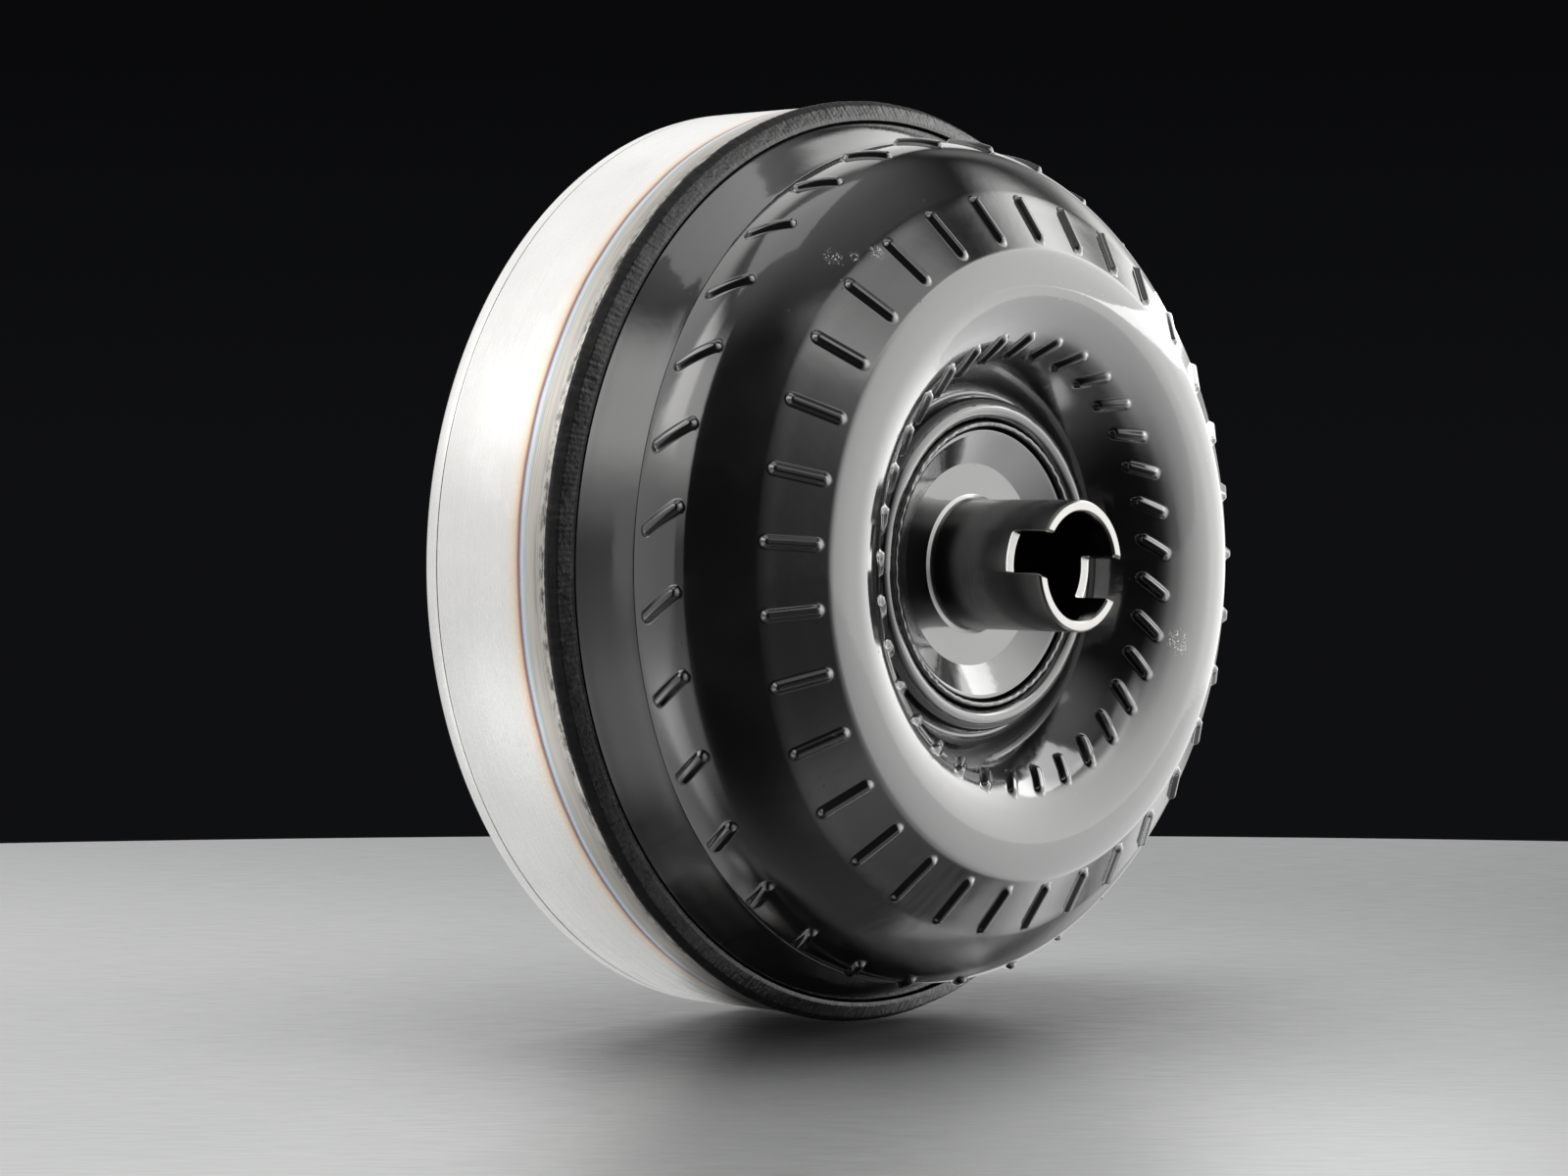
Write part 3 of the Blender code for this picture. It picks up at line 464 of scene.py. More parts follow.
def make_paint(name, rough, spots=()):
    """Gloss black enamel over a pressing: orange peel, dust nibs and rubbed edges."""
    mat = Mat(name)
    peel = mat.noise(scale=210.0, detail=2.0, rough=0.5)
    haze = mat.noise(scale=24.0, detail=5.0, rough=0.6)
    nibs = mat.mul(mat.span(mat.voronoi(scale=330.0), ends=(0.16, 0.06)),
                   mat.span(mat.noise(scale=60.0), ends=(0.6, 0.68)))
    base = mat.mix(mat.span(haze, ends=(0.3, 0.75)),
                   under=(0.0065, 0.0065, 0.0072), over=(0.0120, 0.0120, 0.0130))
    wear = mat.mul(mat.edge_wear(radius=0.0008),
                   mat.span(mat.noise(scale=130.0, detail=4.0), ends=(0.50, 0.68)))
    base = mat.mix(mat.mul(wear, 0.6), base, over=(0.07, 0.07, 0.07))
    if spots:
        base = mat.mix(scuff_mask(mat, spots), base, over=(0.62, 0.62, 0.60))
    normal = mat.bump(peel, strength=0.045, distance=0.0006)
    normal = mat.bump(nibs, strength=0.25, distance=0.0003, after=normal)
    coat_rough = (rough[0] * 0.5, rough[1] * 0.6)
    return mat.set(base=base, metal=0.0,
                   rough=mat.add(mat.span(haze, ends=(0.3, 0.75), to=rough),
                                 mat.mul(wear, 0.2)),
                   normal=normal, ior=1.62, coat=1.0,
                   coat_rough=mat.span(haze, ends=(0.3, 0.75), to=coat_rough),
                   coat_normal=normal)


def make_weld_paint():
    """Paint flooded over a weld bead: rough, with worn crowns and a wet-looking flank."""
    mat = Mat("weld_bead_paint")
    grain = mat.noise(scale=420.0, detail=4.0, rough=0.7)
    lump = mat.noise(scale=140.0, detail=3.0, rough=0.6)
    flank = mat.span(mat.axial(), ends=(92.0, 91.2))        # 1 towards the hub nose
    wear = mat.mul(mat.edge_wear(radius=0.0007), mat.span(grain, ends=(0.46, 0.62)))
    base = mat.mix(mat.span(lump, ends=(0.3, 0.7)),
                   under=(0.0025, 0.0025, 0.003), over=(0.006, 0.006, 0.006))
    base = mat.mix(mat.mul(wear, 0.16), base, over=(0.07, 0.07, 0.07))
    rough = mat.sub(mat.span(grain, ends=(0.3, 0.7), to=(0.50, 0.72)), mat.mul(flank, 0.30))
    normal = mat.bump(grain, strength=0.42, distance=0.0006)
    normal = mat.bump(lump, strength=0.35, distance=0.0012, after=normal)
    return mat.set(base=base, metal=0.0, rough=rough, normal=normal, ior=1.33,
                   coat=mat.mul(flank, 0.45), coat_rough=0.26, coat_normal=normal)


def make_hub_steel():
    """Ground journal: dark satin, circumferential grinding lines, bright chamfers."""
    mat = Mat("ground_hub_steel_finish")
    y = mat.xyz[1]
    fine = mat.lines(y, fine=7000.0, along=6.0, detail=2.0, rough=0.6)
    coarse = mat.lines(y, fine=700.0, along=5.0, detail=3.0, rough=0.55)
    cloud = mat.noise(scale=60.0, detail=4.0, rough=0.6)
    tip = mat.span(y, ends=(-0.1728, -0.1741))              # the tip's end face and chamfers
    base = mat.mix(mat.span(cloud, ends=(0.3, 0.7)),
                   under=(0.25, 0.247, 0.243), over=(0.20, 0.20, 0.20))
    base = mat.mix(mat.span(coarse, ends=(0.42, 0.7), to=(0.0, 0.35)), base,
                   over=(0.19, 0.19, 0.19))
    bright = mat.math("MAXIMUM", mat.edge_wear(radius=0.0011), tip)
    base = mat.mix(bright, base, over=(0.55, 0.54, 0.52))
    base = mat.mix(tip, base, over=(0.27, 0.265, 0.258))
    # painted shade: the bore's wall is darkened, standing in for the shadow inside it
    painted_bore_shade = mat.span(mat.radius, ends=(0.0196, 0.0192))
    base = mat.mix(mat.mul(painted_bore_shade, 0.6), base, over=(0.14, 0.135, 0.13))
    rough = mat.add(mat.span(fine, ends=(0.3, 0.7), to=(0.17, 0.25)),
                    mat.mul(mat.span(cloud, ends=(0.45, 0.75)), 0.05))
    normal = mat.bump(mat.add(fine, mat.mul(coarse, 0.6)), strength=0.06, distance=0.0003)
    return mat.set(base=base, metal=1.0, rough=rough, normal=normal, aniso=0.2,
                   tangent=mat.radial_tangent())


def make_steel(name, light, dark, rough, dust, grain, bumpy, lines=0.0):
    """General worked metal; lines > 0 adds tool lines round the axis.

    light and dark are its colours, rough its range of roughness, dust the strength of
    dark specks, grain the scale of its texture and bumpy the strength of its relief.
    """
    mat = Mat(name)
    cloud = mat.noise(scale=34.0, detail=5.0, rough=0.6)
    texture = mat.noise(scale=grain, detail=3.0, rough=0.6)
    base = mat.mix(mat.span(cloud, ends=(0.3, 0.72)), under=light, over=dark)
    specks = mat.noise(scale=150.0, detail=4.0, rough=0.7)
    base = mat.mix(mat.mul(mat.span(specks, ends=(0.60, 0.72)), dust), base,
                   over=tuple(c * 0.45 for c in dark))
    height = texture
    roughness = mat.span(texture, ends=(0.3, 0.7), to=rough)
    if lines > 0:
        ring = mat.lines(mat.add(mat.xyz[1], mat.radius), fine=2600.0, along=6.0,
                         detail=3.0, rough=0.6)
        base = mat.mix(mat.span(ring, ends=(0.4, 0.7), to=(0.0, 0.35)), base, over=dark)
        height = mat.add(mat.mul(texture, 0.5), mat.mul(ring, lines))
        roughness = mat.add(roughness, mat.span(ring, ends=(0.4, 0.7), to=(-0.03, 0.06)))
    base = mat.mix(mat.mul(mat.edge_wear(radius=0.0007), 0.55), base,
                   over=tuple(min(1.0, c * 1.25) for c in light))
    return mat.set(base=base, metal=1.0, rough=roughness,
                   normal=mat.bump(height, strength=bumpy, distance=0.0004),
                   aniso=0.3 if lines > 0 else 0.0, tangent=mat.radial_tangent())


def make_cast():
    """Pitted, grainy cast aluminium."""
    mat = Mat("cast_aluminium_finish")
    grain = mat.noise(scale=520.0, detail=4.0, rough=0.65)
    cloud = mat.noise(scale=40.0, detail=4.0)
    pits = mat.mul(mat.span(mat.voronoi(scale=260.0), ends=(0.14, 0.05)),
                   mat.span(cloud, ends=(0.5, 0.6)))
    base = mat.mix(mat.span(cloud, ends=(0.3, 0.7)),
                   under=(0.60, 0.61, 0.62), over=(0.48, 0.485, 0.49))
    base = mat.mix(pits, base, over=(0.20, 0.20, 0.20))
    base = mat.mix(mat.mul(mat.edge_wear(radius=0.0009), 0.6), base, over=(0.80, 0.80, 0.80))
    normal = mat.bump(grain, strength=0.35, distance=0.0005)
    normal = mat.bump(pits, strength=-0.4, distance=0.0005, after=normal)
    return mat.set(base=base, metal=1.0, normal=normal,
                   rough=mat.span(grain, ends=(0.3, 0.7), to=(0.36, 0.56)))


def make_paper():
    """Brown fibrous friction paper."""
    mat = Mat("friction_paper_finish")
    fibre = mat.noise(scale=900.0, detail=5.0, rough=0.7, dist=1.2)
    mottle = mat.noise(scale=120.0, detail=4.0, rough=0.6)
    base = mat.mix(mat.span(fibre, ends=(0.3, 0.7)),
                   under=(0.085, 0.052, 0.028), over=(0.21, 0.135, 0.075))
    base = mat.mix(mat.span(mottle, ends=(0.4, 0.7), to=(0.0, 0.5)), base,
                   over=(0.06, 0.045, 0.035))
    return mat.set(base=base, rough=mat.span(fibre, ends=(0.3, 0.7), to=(0.80, 0.95)),
                   sheen=0.15, normal=mat.bump(fibre, strength=0.6, distance=0.0006))


def make_rubber():
    """Dull black rubber."""
    mat = Mat("seal_rubber_finish")
    grain = mat.noise(scale=600.0, detail=3.0)
    cloud = mat.noise(scale=80.0, detail=3.0)
    base = mat.mix(cloud, under=(0.014, 0.014, 0.015), over=(0.034, 0.033, 0.033))
    return mat.set(base=base, rough=mat.span(grain, ends=(0.3, 0.7), to=(0.45, 0.65)),
                   normal=mat.bump(grain, strength=0.2, distance=0.0003))


def make_lug_steel():
    """Machined steel, heat-coloured where it meets its fillet weld."""
    mat = Mat("lug_machined_steel")
    cloud = mat.noise(scale=70.0, detail=4.0, rough=0.6)
    grain = mat.noise(scale=420.0, detail=3.0)
    base = mat.mix(mat.span(cloud, ends=(0.3, 0.7)),
                   under=(0.64, 0.63, 0.62), over=(0.50, 0.495, 0.49))
    axial = mat.axial()
    heat = mat.ramp(mat.span(axial, ends=(157.0, 166.0), smooth=False), LUG_HEAT)
    base = mat.mix(mat.mul(mat.span(axial, ends=(164.0, 161.0)), 0.85), base, over=heat)
    base = mat.mix(mat.mul(mat.edge_wear(radius=0.0008), 0.6), base, over=(0.85, 0.84, 0.82))
    lines = mat.lines(mat.xyz[1], fine=4200.0, along=40.0, detail=2.0, rough=0.6)
    normal = mat.bump(mat.add(mat.mul(grain, 0.5), lines), strength=0.12, distance=0.0003)
    return mat.set(base=base, metal=1.0, normal=normal,
                   rough=mat.span(grain, ends=(0.3, 0.7), to=(0.24, 0.38)))


shell_paint = make_paint("gloss_black_paint", rough=(0.085, 0.15), spots=SCUFFS)
hub_flange_paint = make_paint("hub_flange_paint", rough=(0.09, 0.15))
# finish of each material slot
FINISHES = {
    "turned_steel": make_cover_steel(),
    "weld_black": make_weld_paint(),
    "ground_hub_steel": make_hub_steel(),
    "stamped_steel": make_steel(
        "stamped_steel_finish", light=(0.46, 0.46, 0.465), dark=(0.30, 0.30, 0.31),
        rough=(0.30, 0.46), dust=0.5, grain=240.0, bumpy=0.18),
    "hardened_steel": make_steel(
        "hardened_steel_finish", light=(0.60, 0.60, 0.61), dark=(0.46, 0.46, 0.47),
        rough=(0.14, 0.24), lines=0.6, dust=0.15, grain=500.0, bumpy=0.08),
    "spring_steel": make_steel(
        "spring_steel_finish", light=(0.17, 0.19, 0.25), dark=(0.10, 0.10, 0.13),
        rough=(0.24, 0.38), dust=0.4, grain=420.0, bumpy=0.12),
    "bearing_cage": make_steel(
        "bearing_cage_finish", light=(0.58, 0.54, 0.42), dark=(0.42, 0.37, 0.25),
        rough=(0.26, 0.40), lines=0.3, dust=0.3, grain=360.0, bumpy=0.1),
    "bronze": make_steel(
        "bronze_finish", light=(0.66, 0.45, 0.21), dark=(0.43, 0.27, 0.11),
        rough=(0.26, 0.40), lines=0.5, dust=0.3, grain=360.0, bumpy=0.12),
    "cast_aluminium": make_cast(),
    "friction_paper": make_paper(),
    "seal_rubber": make_rubber(),
    "black_paint": shell_paint,
}


# -------------------------------------------------------------- CAD nodes kept
def smooth_group(degrees):
    """Modifier network: smooth faces, edges kept crisp above an angle."""
    group = bpy.data.node_groups.new("smooth_by_angle", "GeometryNodeTree")
    for direction in ("INPUT", "OUTPUT"):
        group.interface.new_socket("Geometry", in_out=direction,
                                   socket_type="NodeSocketGeometry")
    new, link = group.nodes.new, group.links.new
    group_in, group_out = new("NodeGroupInput"), new("NodeGroupOutput")
    angle = new("GeometryNodeInputMeshEdgeAngle")
    over = new("ShaderNodeMath")
    over.operation = "GREATER_THAN"
    over.inputs[1].default_value = math.radians(degrees)
    face, edge = (new("GeometryNodeSetShadeSmooth") for _ in range(2))
    face.domain, edge.domain = "FACE", "EDGE"
    face.inputs["Shade Smooth"].default_value = True
    edge.inputs["Shade Smooth"].default_value = False
    link(group_in.outputs[0], face.inputs["Geometry"])
    link(face.outputs[0], edge.inputs["Geometry"])
    link(angle.outputs[0], over.inputs[0])
    link(over.outputs[0], edge.inputs["Selection"])
    link(edge.outputs[0], group_out.inputs[0])
    return group


def finish_cad_nodes():
    """Keep the CAD shapes: finish of the slot, welded, shaded smooth across small angles."""
    slots = {part["node"]: part["material_slot"] for part in frame["record"]["subparts"]}
    crisp = smooth_group(degrees=33.0)
    for name, ob in frame["nodes"].items():
        ob.data.materials.clear()
        ob.data.materials.append(FINISHES[slots[name]])
        ob.modifiers.new("weld", "WELD").merge_threshold = 0.000005
        ob.modifiers.new("smooth_by_angle", "NODES").node_group = crisp


# --------------------------------------------------------------- damper springs
SPRING_CIRCLE = 0.080          # radius of the circle of springs, metres
SPRING_AX = 129.5
COIL_RADIUS = 5.1              # to the middle of the wire
WIRE_RADIUS = 1.0
SPRING_LENGTH = 44.0
CLOSED_TURNS = 1.0             # at each end
ACTIVE_TURNS = 4.5
STEPS_PER_TURN = 30
WIRE_SIDES = 12


def coil_mesh(name, centre, along):
    """Compression spring with closed end turns: a round wire swept along a helix."""
    turns = ACTIVE_TURNS + 2 * CLOSED_TURNS
    count = int(turns * STEPS_PER_TURN) + 1
    turn = np.linspace(0, turns, count)
    closed_pitch = 2 * WIRE_RADIUS * 1.02
    travel = SPRING_LENGTH - 2 * WIRE_RADIUS
    open_pitch = (travel - 2 * CLOSED_TURNS * closed_pitch) / ACTIVE_TURNS
    ends = [0, CLOSED_TURNS * 0.8, CLOSED_TURNS * 1.3]
    pitch = np.interp(turn, ends + [turns - t for t in ends[::-1]],
                      [closed_pitch, closed_pitch, open_pitch,
                       open_pitch, closed_pitch, closed_pitch])
    rise = np.concatenate([[0], np.cumsum((pitch[1:] + pitch[:-1]) / 2 * np.diff(turn))])
    rise = rise / rise[-1] * travel - travel / 2
    angle = TAU * turn
    path = np.stack([COIL_RADIUS * np.cos(angle), COIL_RADIUS * np.sin(angle), rise], -1)
    tangent = np.gradient(path, axis=0)
    tangent /= np.linalg.norm(tangent, axis=1)[:, None]
    outward = np.stack([np.cos(angle), np.sin(angle), 0 * angle], -1)
    side = np.cross(tangent, outward)
    side /= np.linalg.norm(side, axis=1)[:, None]
    around = TAU * np.arange(WIRE_SIDES) / WIRE_SIDES
    points = path[:, None] + WIRE_RADIUS * (np.cos(around)[None, :, None] * outward[:, None]
                                            + np.sin(around)[None, :, None] * side[:, None])
    axis = Vector(along).normalized()
    first = Vector((0, 1, 0))
    basis = np.array([list(first), list(axis.cross(first).normalized()), list(axis)])
    verts = (points.reshape(-1, 3) @ basis) / 1000 + np.array(centre)[None]
    faces = []
    for i in range(count - 1):
        here, beyond = i * WIRE_SIDES, (i + 1) * WIRE_SIDES
        for j in range(WIRE_SIDES):
            k = (j + 1) % WIRE_SIDES
            faces.append((here + j, here + k, beyond + k, beyond + j))
    faces.append(tuple(range(WIRE_SIDES - 1, -1, -1)))
    faces.append(tuple((count - 1) * WIRE_SIDES + j for j in range(WIRE_SIDES)))
    return face_outward(new_mesh(name, verts.tolist(), faces))


def build_springs():
    for k in range(6):
        angle = math.radians(30.0 + 60.0 * k)
        centre = (SPRING_CIRCLE * math.cos(angle), (SPRING_AX + HUB_TIP) / 1000,
                  SPRING_CIRCLE * math.sin(angle))
        along = (-math.sin(angle), 0.0, math.cos(angle))
        cad_name = "damper_spring_%d" % (k + 1)
        name = cad_name + "_coil"
        spring = add_object(name, coil_mesh(name, centre, along), "piston", cad_name,
                            "spring_steel", sharp=50.0)
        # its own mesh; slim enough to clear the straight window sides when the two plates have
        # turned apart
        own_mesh(spring)


# --------------------------------------------------------------- impeller shell
VANES = 33
VANE_PITCH = 360.0 / VANES     # degrees
FIRST_VANE = 88.3              # degrees
SHEET = 3.1                    # thickness of the pressing
# outside of the pressing as (r, ax), from the rim to the hub, in runs between its creases
RIM_EDGE = [(160.2, 104.0), (160.2, 99.0)]
FLARE = [(160.2, 94.6), (159.95, 92.6), (159.1, 89.9), (157.2, 86.2), (155.0, 81.6),
         (152.6, 76.0), (150.75, 70.9)]
GROOVE = [(150.50, 70.32), (150.16, 70.20), (150.16, 70.10), (150.47, 69.98)]
SHOULDER = [(150.5, 69.5), (150.45, 66.0), (150.2, 61.5), (149.5, 57.3), (148.2, 53.3),
            (146.3, 49.6), (143.8, 46.1), (141.0, 42.95), (138.0, 39.9), (134.6, 36.65),
            (131.4, 33.75)]
CONE = [(130.75, 33.22), (130.2, 32.80), (126.0, 29.79), (121.0, 26.21), (116.0, 22.63),
        (112.0, 19.77), (111.0, 19.06)]
CROWN = [(110.1, 18.58), (108.8, 18.24), (106.8, 17.80), (104.4, 17.40), (101.0, 17.1),
         (97.3, 17.0), (94.2, 17.4), (91.2, 18.15), (88.6, 19.05), (86.1, 20.1), (83.6, 21.45),
         (81.2, 22.95), (78.7, 24.9), (76.3, 27.1), (74.2, 29.4), (72.1, 31.8), (70.0, 34.45),
         (68.0, 37.2), (66.2, 39.9), (64.5, 42.75), (63.1, 45.35), (62.0, 47.6)]
NECK = [(61.35, 48.35), (60.6, 48.35), (60.0, 47.6), (59.6, 46.0), (59.1, 43.9), (58.2, 42.1),
        (56.9, 40.9), (55.2, 40.35), (53.6, 40.75), (52.35, 41.75), (51.6, 43.2), (51.3, 45.0),
        (51.3, 47.5)]
# rows of ridges: rim end and hub end as (r, ax, lean in degrees), half width, height
RIDGE_ROWS = [((150.35, 66.3, -0.3), (147.7, 52.3, -4.3), 2.25, 1.85),
              ((129.2, 32.5, 0.0), (113.2, 20.6, 0.0), 2.2, 1.75),
              ((81.0, 22.9, 0.2), (73.0, 30.3, 6.0), 2.2, 1.9)]
# lean at the ridges' ends, between the first two rows and past the last, rim to hub
LEAN_STATIONS = [*RIDGE_ROWS[0][:2], (138.6, 40.2, -1.6), *RIDGE_ROWS[1][:2],
                 *RIDGE_ROWS[2][:2], (66.2, 39.9, 8.2)]
# columns on one side of a ridge's middle, degrees
HALF_COLUMNS = [0.0, 0.16, 0.32, 0.48, 0.64, 0.80, 0.96, 1.12, 1.28, 1.46, 1.66, 1.88, 2.12,
                2.4, 2.8, 3.4, 4.3]
RIDGE_REACH = 1.12             # where a ridge ends, in half widths


def shell_rows():
    """Rows of the outside: finely spaced where ridges are, coarser between."""
    shoulder_cone = np.vstack([spline(SHOULDER, step=0.55), spline(CONE, step=0.55)])
    crown = spline(CROWN, step=0.62)
    rows = RIM_EDGE + list(spline(FLARE, step=1.6)) + GROOVE
    rows += [p for i, p in enumerate(shoulder_cone)
             if 50.3 < p[1] < 68.2 or 18.9 < p[1] < 35.0
             or i % 3 == 0 or i == len(shoulder_cone) - 1]
    rows += [p for i, p in enumerate(crown)
             if 20.6 < p[1] < 32.6 or i % 2 == 0 or i == len(crown) - 1]
    return np.array([tuple(p) for p in rows + list(spline(NECK, step=0.7))])


def ridge_lift(outer, arc, arc_of, lean, degrees):
    """Height of the ridges over each (column, row) point of one vane's sector."""
    lift = np.zeros_like(degrees)
    for rim_end, hub_end, half_width, height in RIDGE_ROWS:
        start, end = arc_of(*rim_end[:2]), arc_of(*hub_end[:2])
        inset = half_width * 0.75
        # the ridge's spine in 3-D, following the surface
        along = np.linspace(start + inset, end - inset, 40)
        spine_r = np.interp(along, arc, outer[:, 0])
        spine_angle = np.radians(np.interp(along, arc, lean))
        spine = np.stack([spine_r * np.cos(spine_angle), np.interp(along, arc, outer[:, 1]),
                          spine_r * np.sin(spine_angle)], -1)
        rows = np.where((arc > start - 4) & (arc < end + 4))[0]
        for shift in (-VANE_PITCH, 0.0, VANE_PITCH):
            angle = np.radians(degrees[:, rows] + shift)
            radius = np.tile(outer[rows, 0], (len(angle), 1))
            axial = np.tile(outer[rows, 1], (len(angle), 1))
            points = np.stack([radius * np.cos(angle), axial, radius * np.sin(angle)], -1)
            distance = np.full(angle.shape, 1e9)
            for a, b in zip(spine[:-1], spine[1:]):
                edge = b - a
                t = np.clip(((points - a) @ edge) / (edge @ edge), 0, 1)
                gap = np.linalg.norm(points - (a + t[..., None] * edge), axis=-1)
                distance = np.minimum(distance, gap)
            x = distance / half_width
            dome = 1 - smoothstep(0.30, RIDGE_REACH, x)
            crown = np.clip(1 - (x / RIDGE_REACH) ** 2, 0, 1)
            ridge = height * (0.72 * dome + 0.28 * crown * (x < RIDGE_REACH))
            lift[:, rows] = np.maximum(lift[:, rows], ridge)
    return lift


def build_shell():
    outer = shell_rows()
    arc = np.concatenate([[0], np.cumsum(np.linalg.norm(np.diff(outer, axis=0), axis=1))])

    def arc_of(r, ax):
        return arc[int(np.argmin((outer[:, 0] - r) ** 2 + (outer[:, 1] - ax) ** 2))]

    # the columns lean with the vanes, so that every ridge runs along a column
    lean = np.interp(arc, [arc_of(r, ax) for r, ax, _ in LEAN_STATIONS],
                     [degrees for _, _, degrees in LEAN_STATIONS])
    columns = np.array([-x for x in HALF_COLUMNS[:0:-1]] + HALF_COLUMNS + [VANE_PITCH / 2])
    degrees = columns[:, None] + lean[None, :]
    tangent = np.gradient(outer, axis=0)
    tangent /= np.linalg.norm(tangent, axis=1)[:, None] + 1e-12
    normal = np.stack([-tangent[:, 1], tangent[:, 0]], -1)      # (r, ax), outward
    lift = ridge_lift(outer, arc, arc_of, lean, degrees)

    # the pressing's inside: the same outline a sheet further in, much coarser
    inner = (outer - normal * SHEET)[3:-14:9]
    inner = inner[inner[:, 0] > 62.0]
    back = np.array([(51.3, 51.0), (60.8, 52.6), *inner[::-1],
                     *((r - SHEET, ax) for r, ax in RIM_EDGE[::-1])])
    back_lean = np.interp(np.linspace(0, 1, len(back)), [0, 1], [lean[-1], lean[0]])

    count = len(columns)
    radius = np.hstack([outer[:, 0] + lift * normal[None, :, 0],
                        np.tile(back[:, 0], (count, 1))])
    axial = np.hstack([outer[:, 1] + lift * normal[None, :, 1],
                       np.tile(back[:, 1], (count, 1))])
    sectors = []
    for k in range(VANES):
        turn = FIRST_VANE + k * VANE_PITCH
        sectors.append(np.hstack([degrees + turn,
                                  columns[:, None] + turn + back_lean[None, :]]))
    name = "impeller_shell_pressing"
    mesh = skin(name, np.tile(radius, (VANES, 1)), np.tile(axial, (VANES, 1)),
                np.radians(np.vstack(sectors)))
    add_object(name, mesh, "housing", "impeller_shell", "black_paint", sharp=40.0)


# ------------------------------------------------------------------ front cover
# (r, ax, corner radius): inner face and rim wall, then the outside back to the axis
COVER_OUTLINE = [
    (0, 145.0), (155.0, 145.0, 2.0), (158.0, 142.0, 2.0), (158.0, 104.6, 0.5),
    (160.9, 104.6, 0.3), (160.9, 97.0, 0.4), (165.5, 97.0, 0.5), (165.5, 107.0),
    (165.5, 130.0), (165.5, 149.35, 0.1), (165.2, 149.55, 0.1), (165.2, 149.85, 0.1),
    (165.45, 150.05, 0.1), (165.45, 157.0, 3.7), (155.0, 157.0), (118.2, 157.0, 2.2),
    (114.4, 153.5, 2.6), (90.0, 153.5), (62.6, 153.5, 2.6), (58.8, 157.0, 2.2), (40.0, 157.0),
    (19.4, 157.0, 0.5), (19.4, 153.0, 0.2), (0, 153.0)]


def build_cover():
    name = "front_cover_forging"
    outline = rounded(COVER_OUTLINE, loop=False, steps=6)
    add_object(name, turned(name, outline, columns=384, loop=False), "housing",
               "front_cover", "turned_steel", sharp=30.0)


# ------------------------------------------------------------------ weld beads
# (r, ax, corner radius)
COVER_WELD_OUTLINE = [
    (160.65, 96.7), (166.0, 96.7, 0.9), (167.0, 94.7, 1.8), (165.2, 91.5, 1.6),
    (161.0, 89.1, 0.8), (159.35, 88.9, 0.2), (159.7, 90.0), (160.65, 94.3)]
COVER_WELD_RIPPLES = int(round(TAU * 165.0 / 3.4))     # 3.4 mm apart at radius 165
RIPPLE_HEIGHT = 0.15
RAGGED = 0.17                  # height of the bead's random unevenness
FLANK_RIBS = 258
HUB_WELD_OUTLINE = [
    (48.75, 43.55), (50.85, 46.3), (50.98, 43.2, 0.3), (50.3, 41.5, 0.7), (49.0, 41.9, 0.6)]


def cover_weld_warp(angle, radius, axial):
    """Ripples and unevenness on the crown, fine ribs on the flank towards the hub nose."""
    phase = angle * COVER_WELD_RIPPLES + 1.3 * wave(angle, terms=6, seed=5, low=2, high=19)
    crescent = np.abs(np.sin(phase / 2)) ** 0.7
    uneven = wave(angle, terms=10, seed=6, low=9, high=60) * RAGGED
    fine = wave(angle, terms=14, seed=7, low=120, high=420) * RAGGED * 0.35
    push = RIPPLE_HEIGHT * (crescent - 0.6) + uneven + fine
    # away from the middle of the section
    out_r, out_ax = radius - radius.mean(), axial - axial.mean()
    reach = np.hypot(out_r, out_ax) + 1e-9
    rippled_r = radius + out_r / reach * push
    rippled_ax = axial + out_ax / reach * push
    crown = smoothstep(161.0, 162.6, radius)
    flank = smoothstep(92.4, 91.2, axial) * smoothstep(160.0, 161.2, radius)
    rib_phase = (angle * FLANK_RIBS + axial * 1.1
                 + 0.5 * wave(angle, terms=6, seed=77, low=3, high=21))
    rib = (np.abs(np.sin(rib_phase)) - 0.6) * 0.10 * flank
    new_r = radius * (1 - crown) + rippled_r * crown + rib * 0.5
    new_ax = axial * (1 - crown) + np.minimum(rippled_ax, 96.75) * crown - rib * 0.86
    return np.minimum(new_r, 167.25), new_ax


def hub_weld_warp(angle, radius, axial):
    """Lumps that swell the bead's crown towards the hub nose."""
    phase = angle * 31 + 0.8 * wave(angle, terms=5, seed=21, low=2, high=11)
    lump = (0.30 * np.abs(np.sin(phase)) ** 1.4
            + 0.16 * wave(angle, terms=8, seed=22, low=20, high=90))
    return radius, axial - np.clip(lump, -0.2, 0.6) * smoothstep(43.4, 42.0, axial)


def build_welds():
    name = "cover_weld_bead"
    mesh = turned(name, rounded(COVER_WELD_OUTLINE), columns=2880, warp=cover_weld_warp)
    add_object(name, mesh, "housing", "cover_weld", "weld_black", sharp=50.0)
    name = "hub_weld_bead"
    mesh = turned(name, rounded(HUB_WELD_OUTLINE), columns=720, warp=hub_weld_warp)
    add_object(name, mesh, "housing", "hub_weld", "weld_black", sharp=50.0,
               finish=make_paint("hub_weld_paint", rough=(0.16, 0.28)))


# --------------------------------------------------------------------- the hub
JOURNAL = 23.05                # outer radius of the nose
BORE = 19.0
# (r, ax, corner radius)
HUB_OUTLINE = [
    (22.35, 0.0, 0.25), (JOURNAL, 0.7, 0.3), (JOURNAL, 30.0), (JOURNAL, 47.7, 0.6),
    (23.5, 48.9, 0.8), (25.0, 49.6, 0.5), (36.0, 49.6, 0.5), (46.4, 43.85, 1.2),
    (47.5, 43.35, 0.5), (48.4, 44.2, 0.4), (50.9, 47.4, 0.4), (50.9, 56.5, 0.6),
    (BORE, 56.5, 0.6), (BORE, 20.0), (BORE, 0.75, 0.2), (19.65, 0.0, 0.25)]
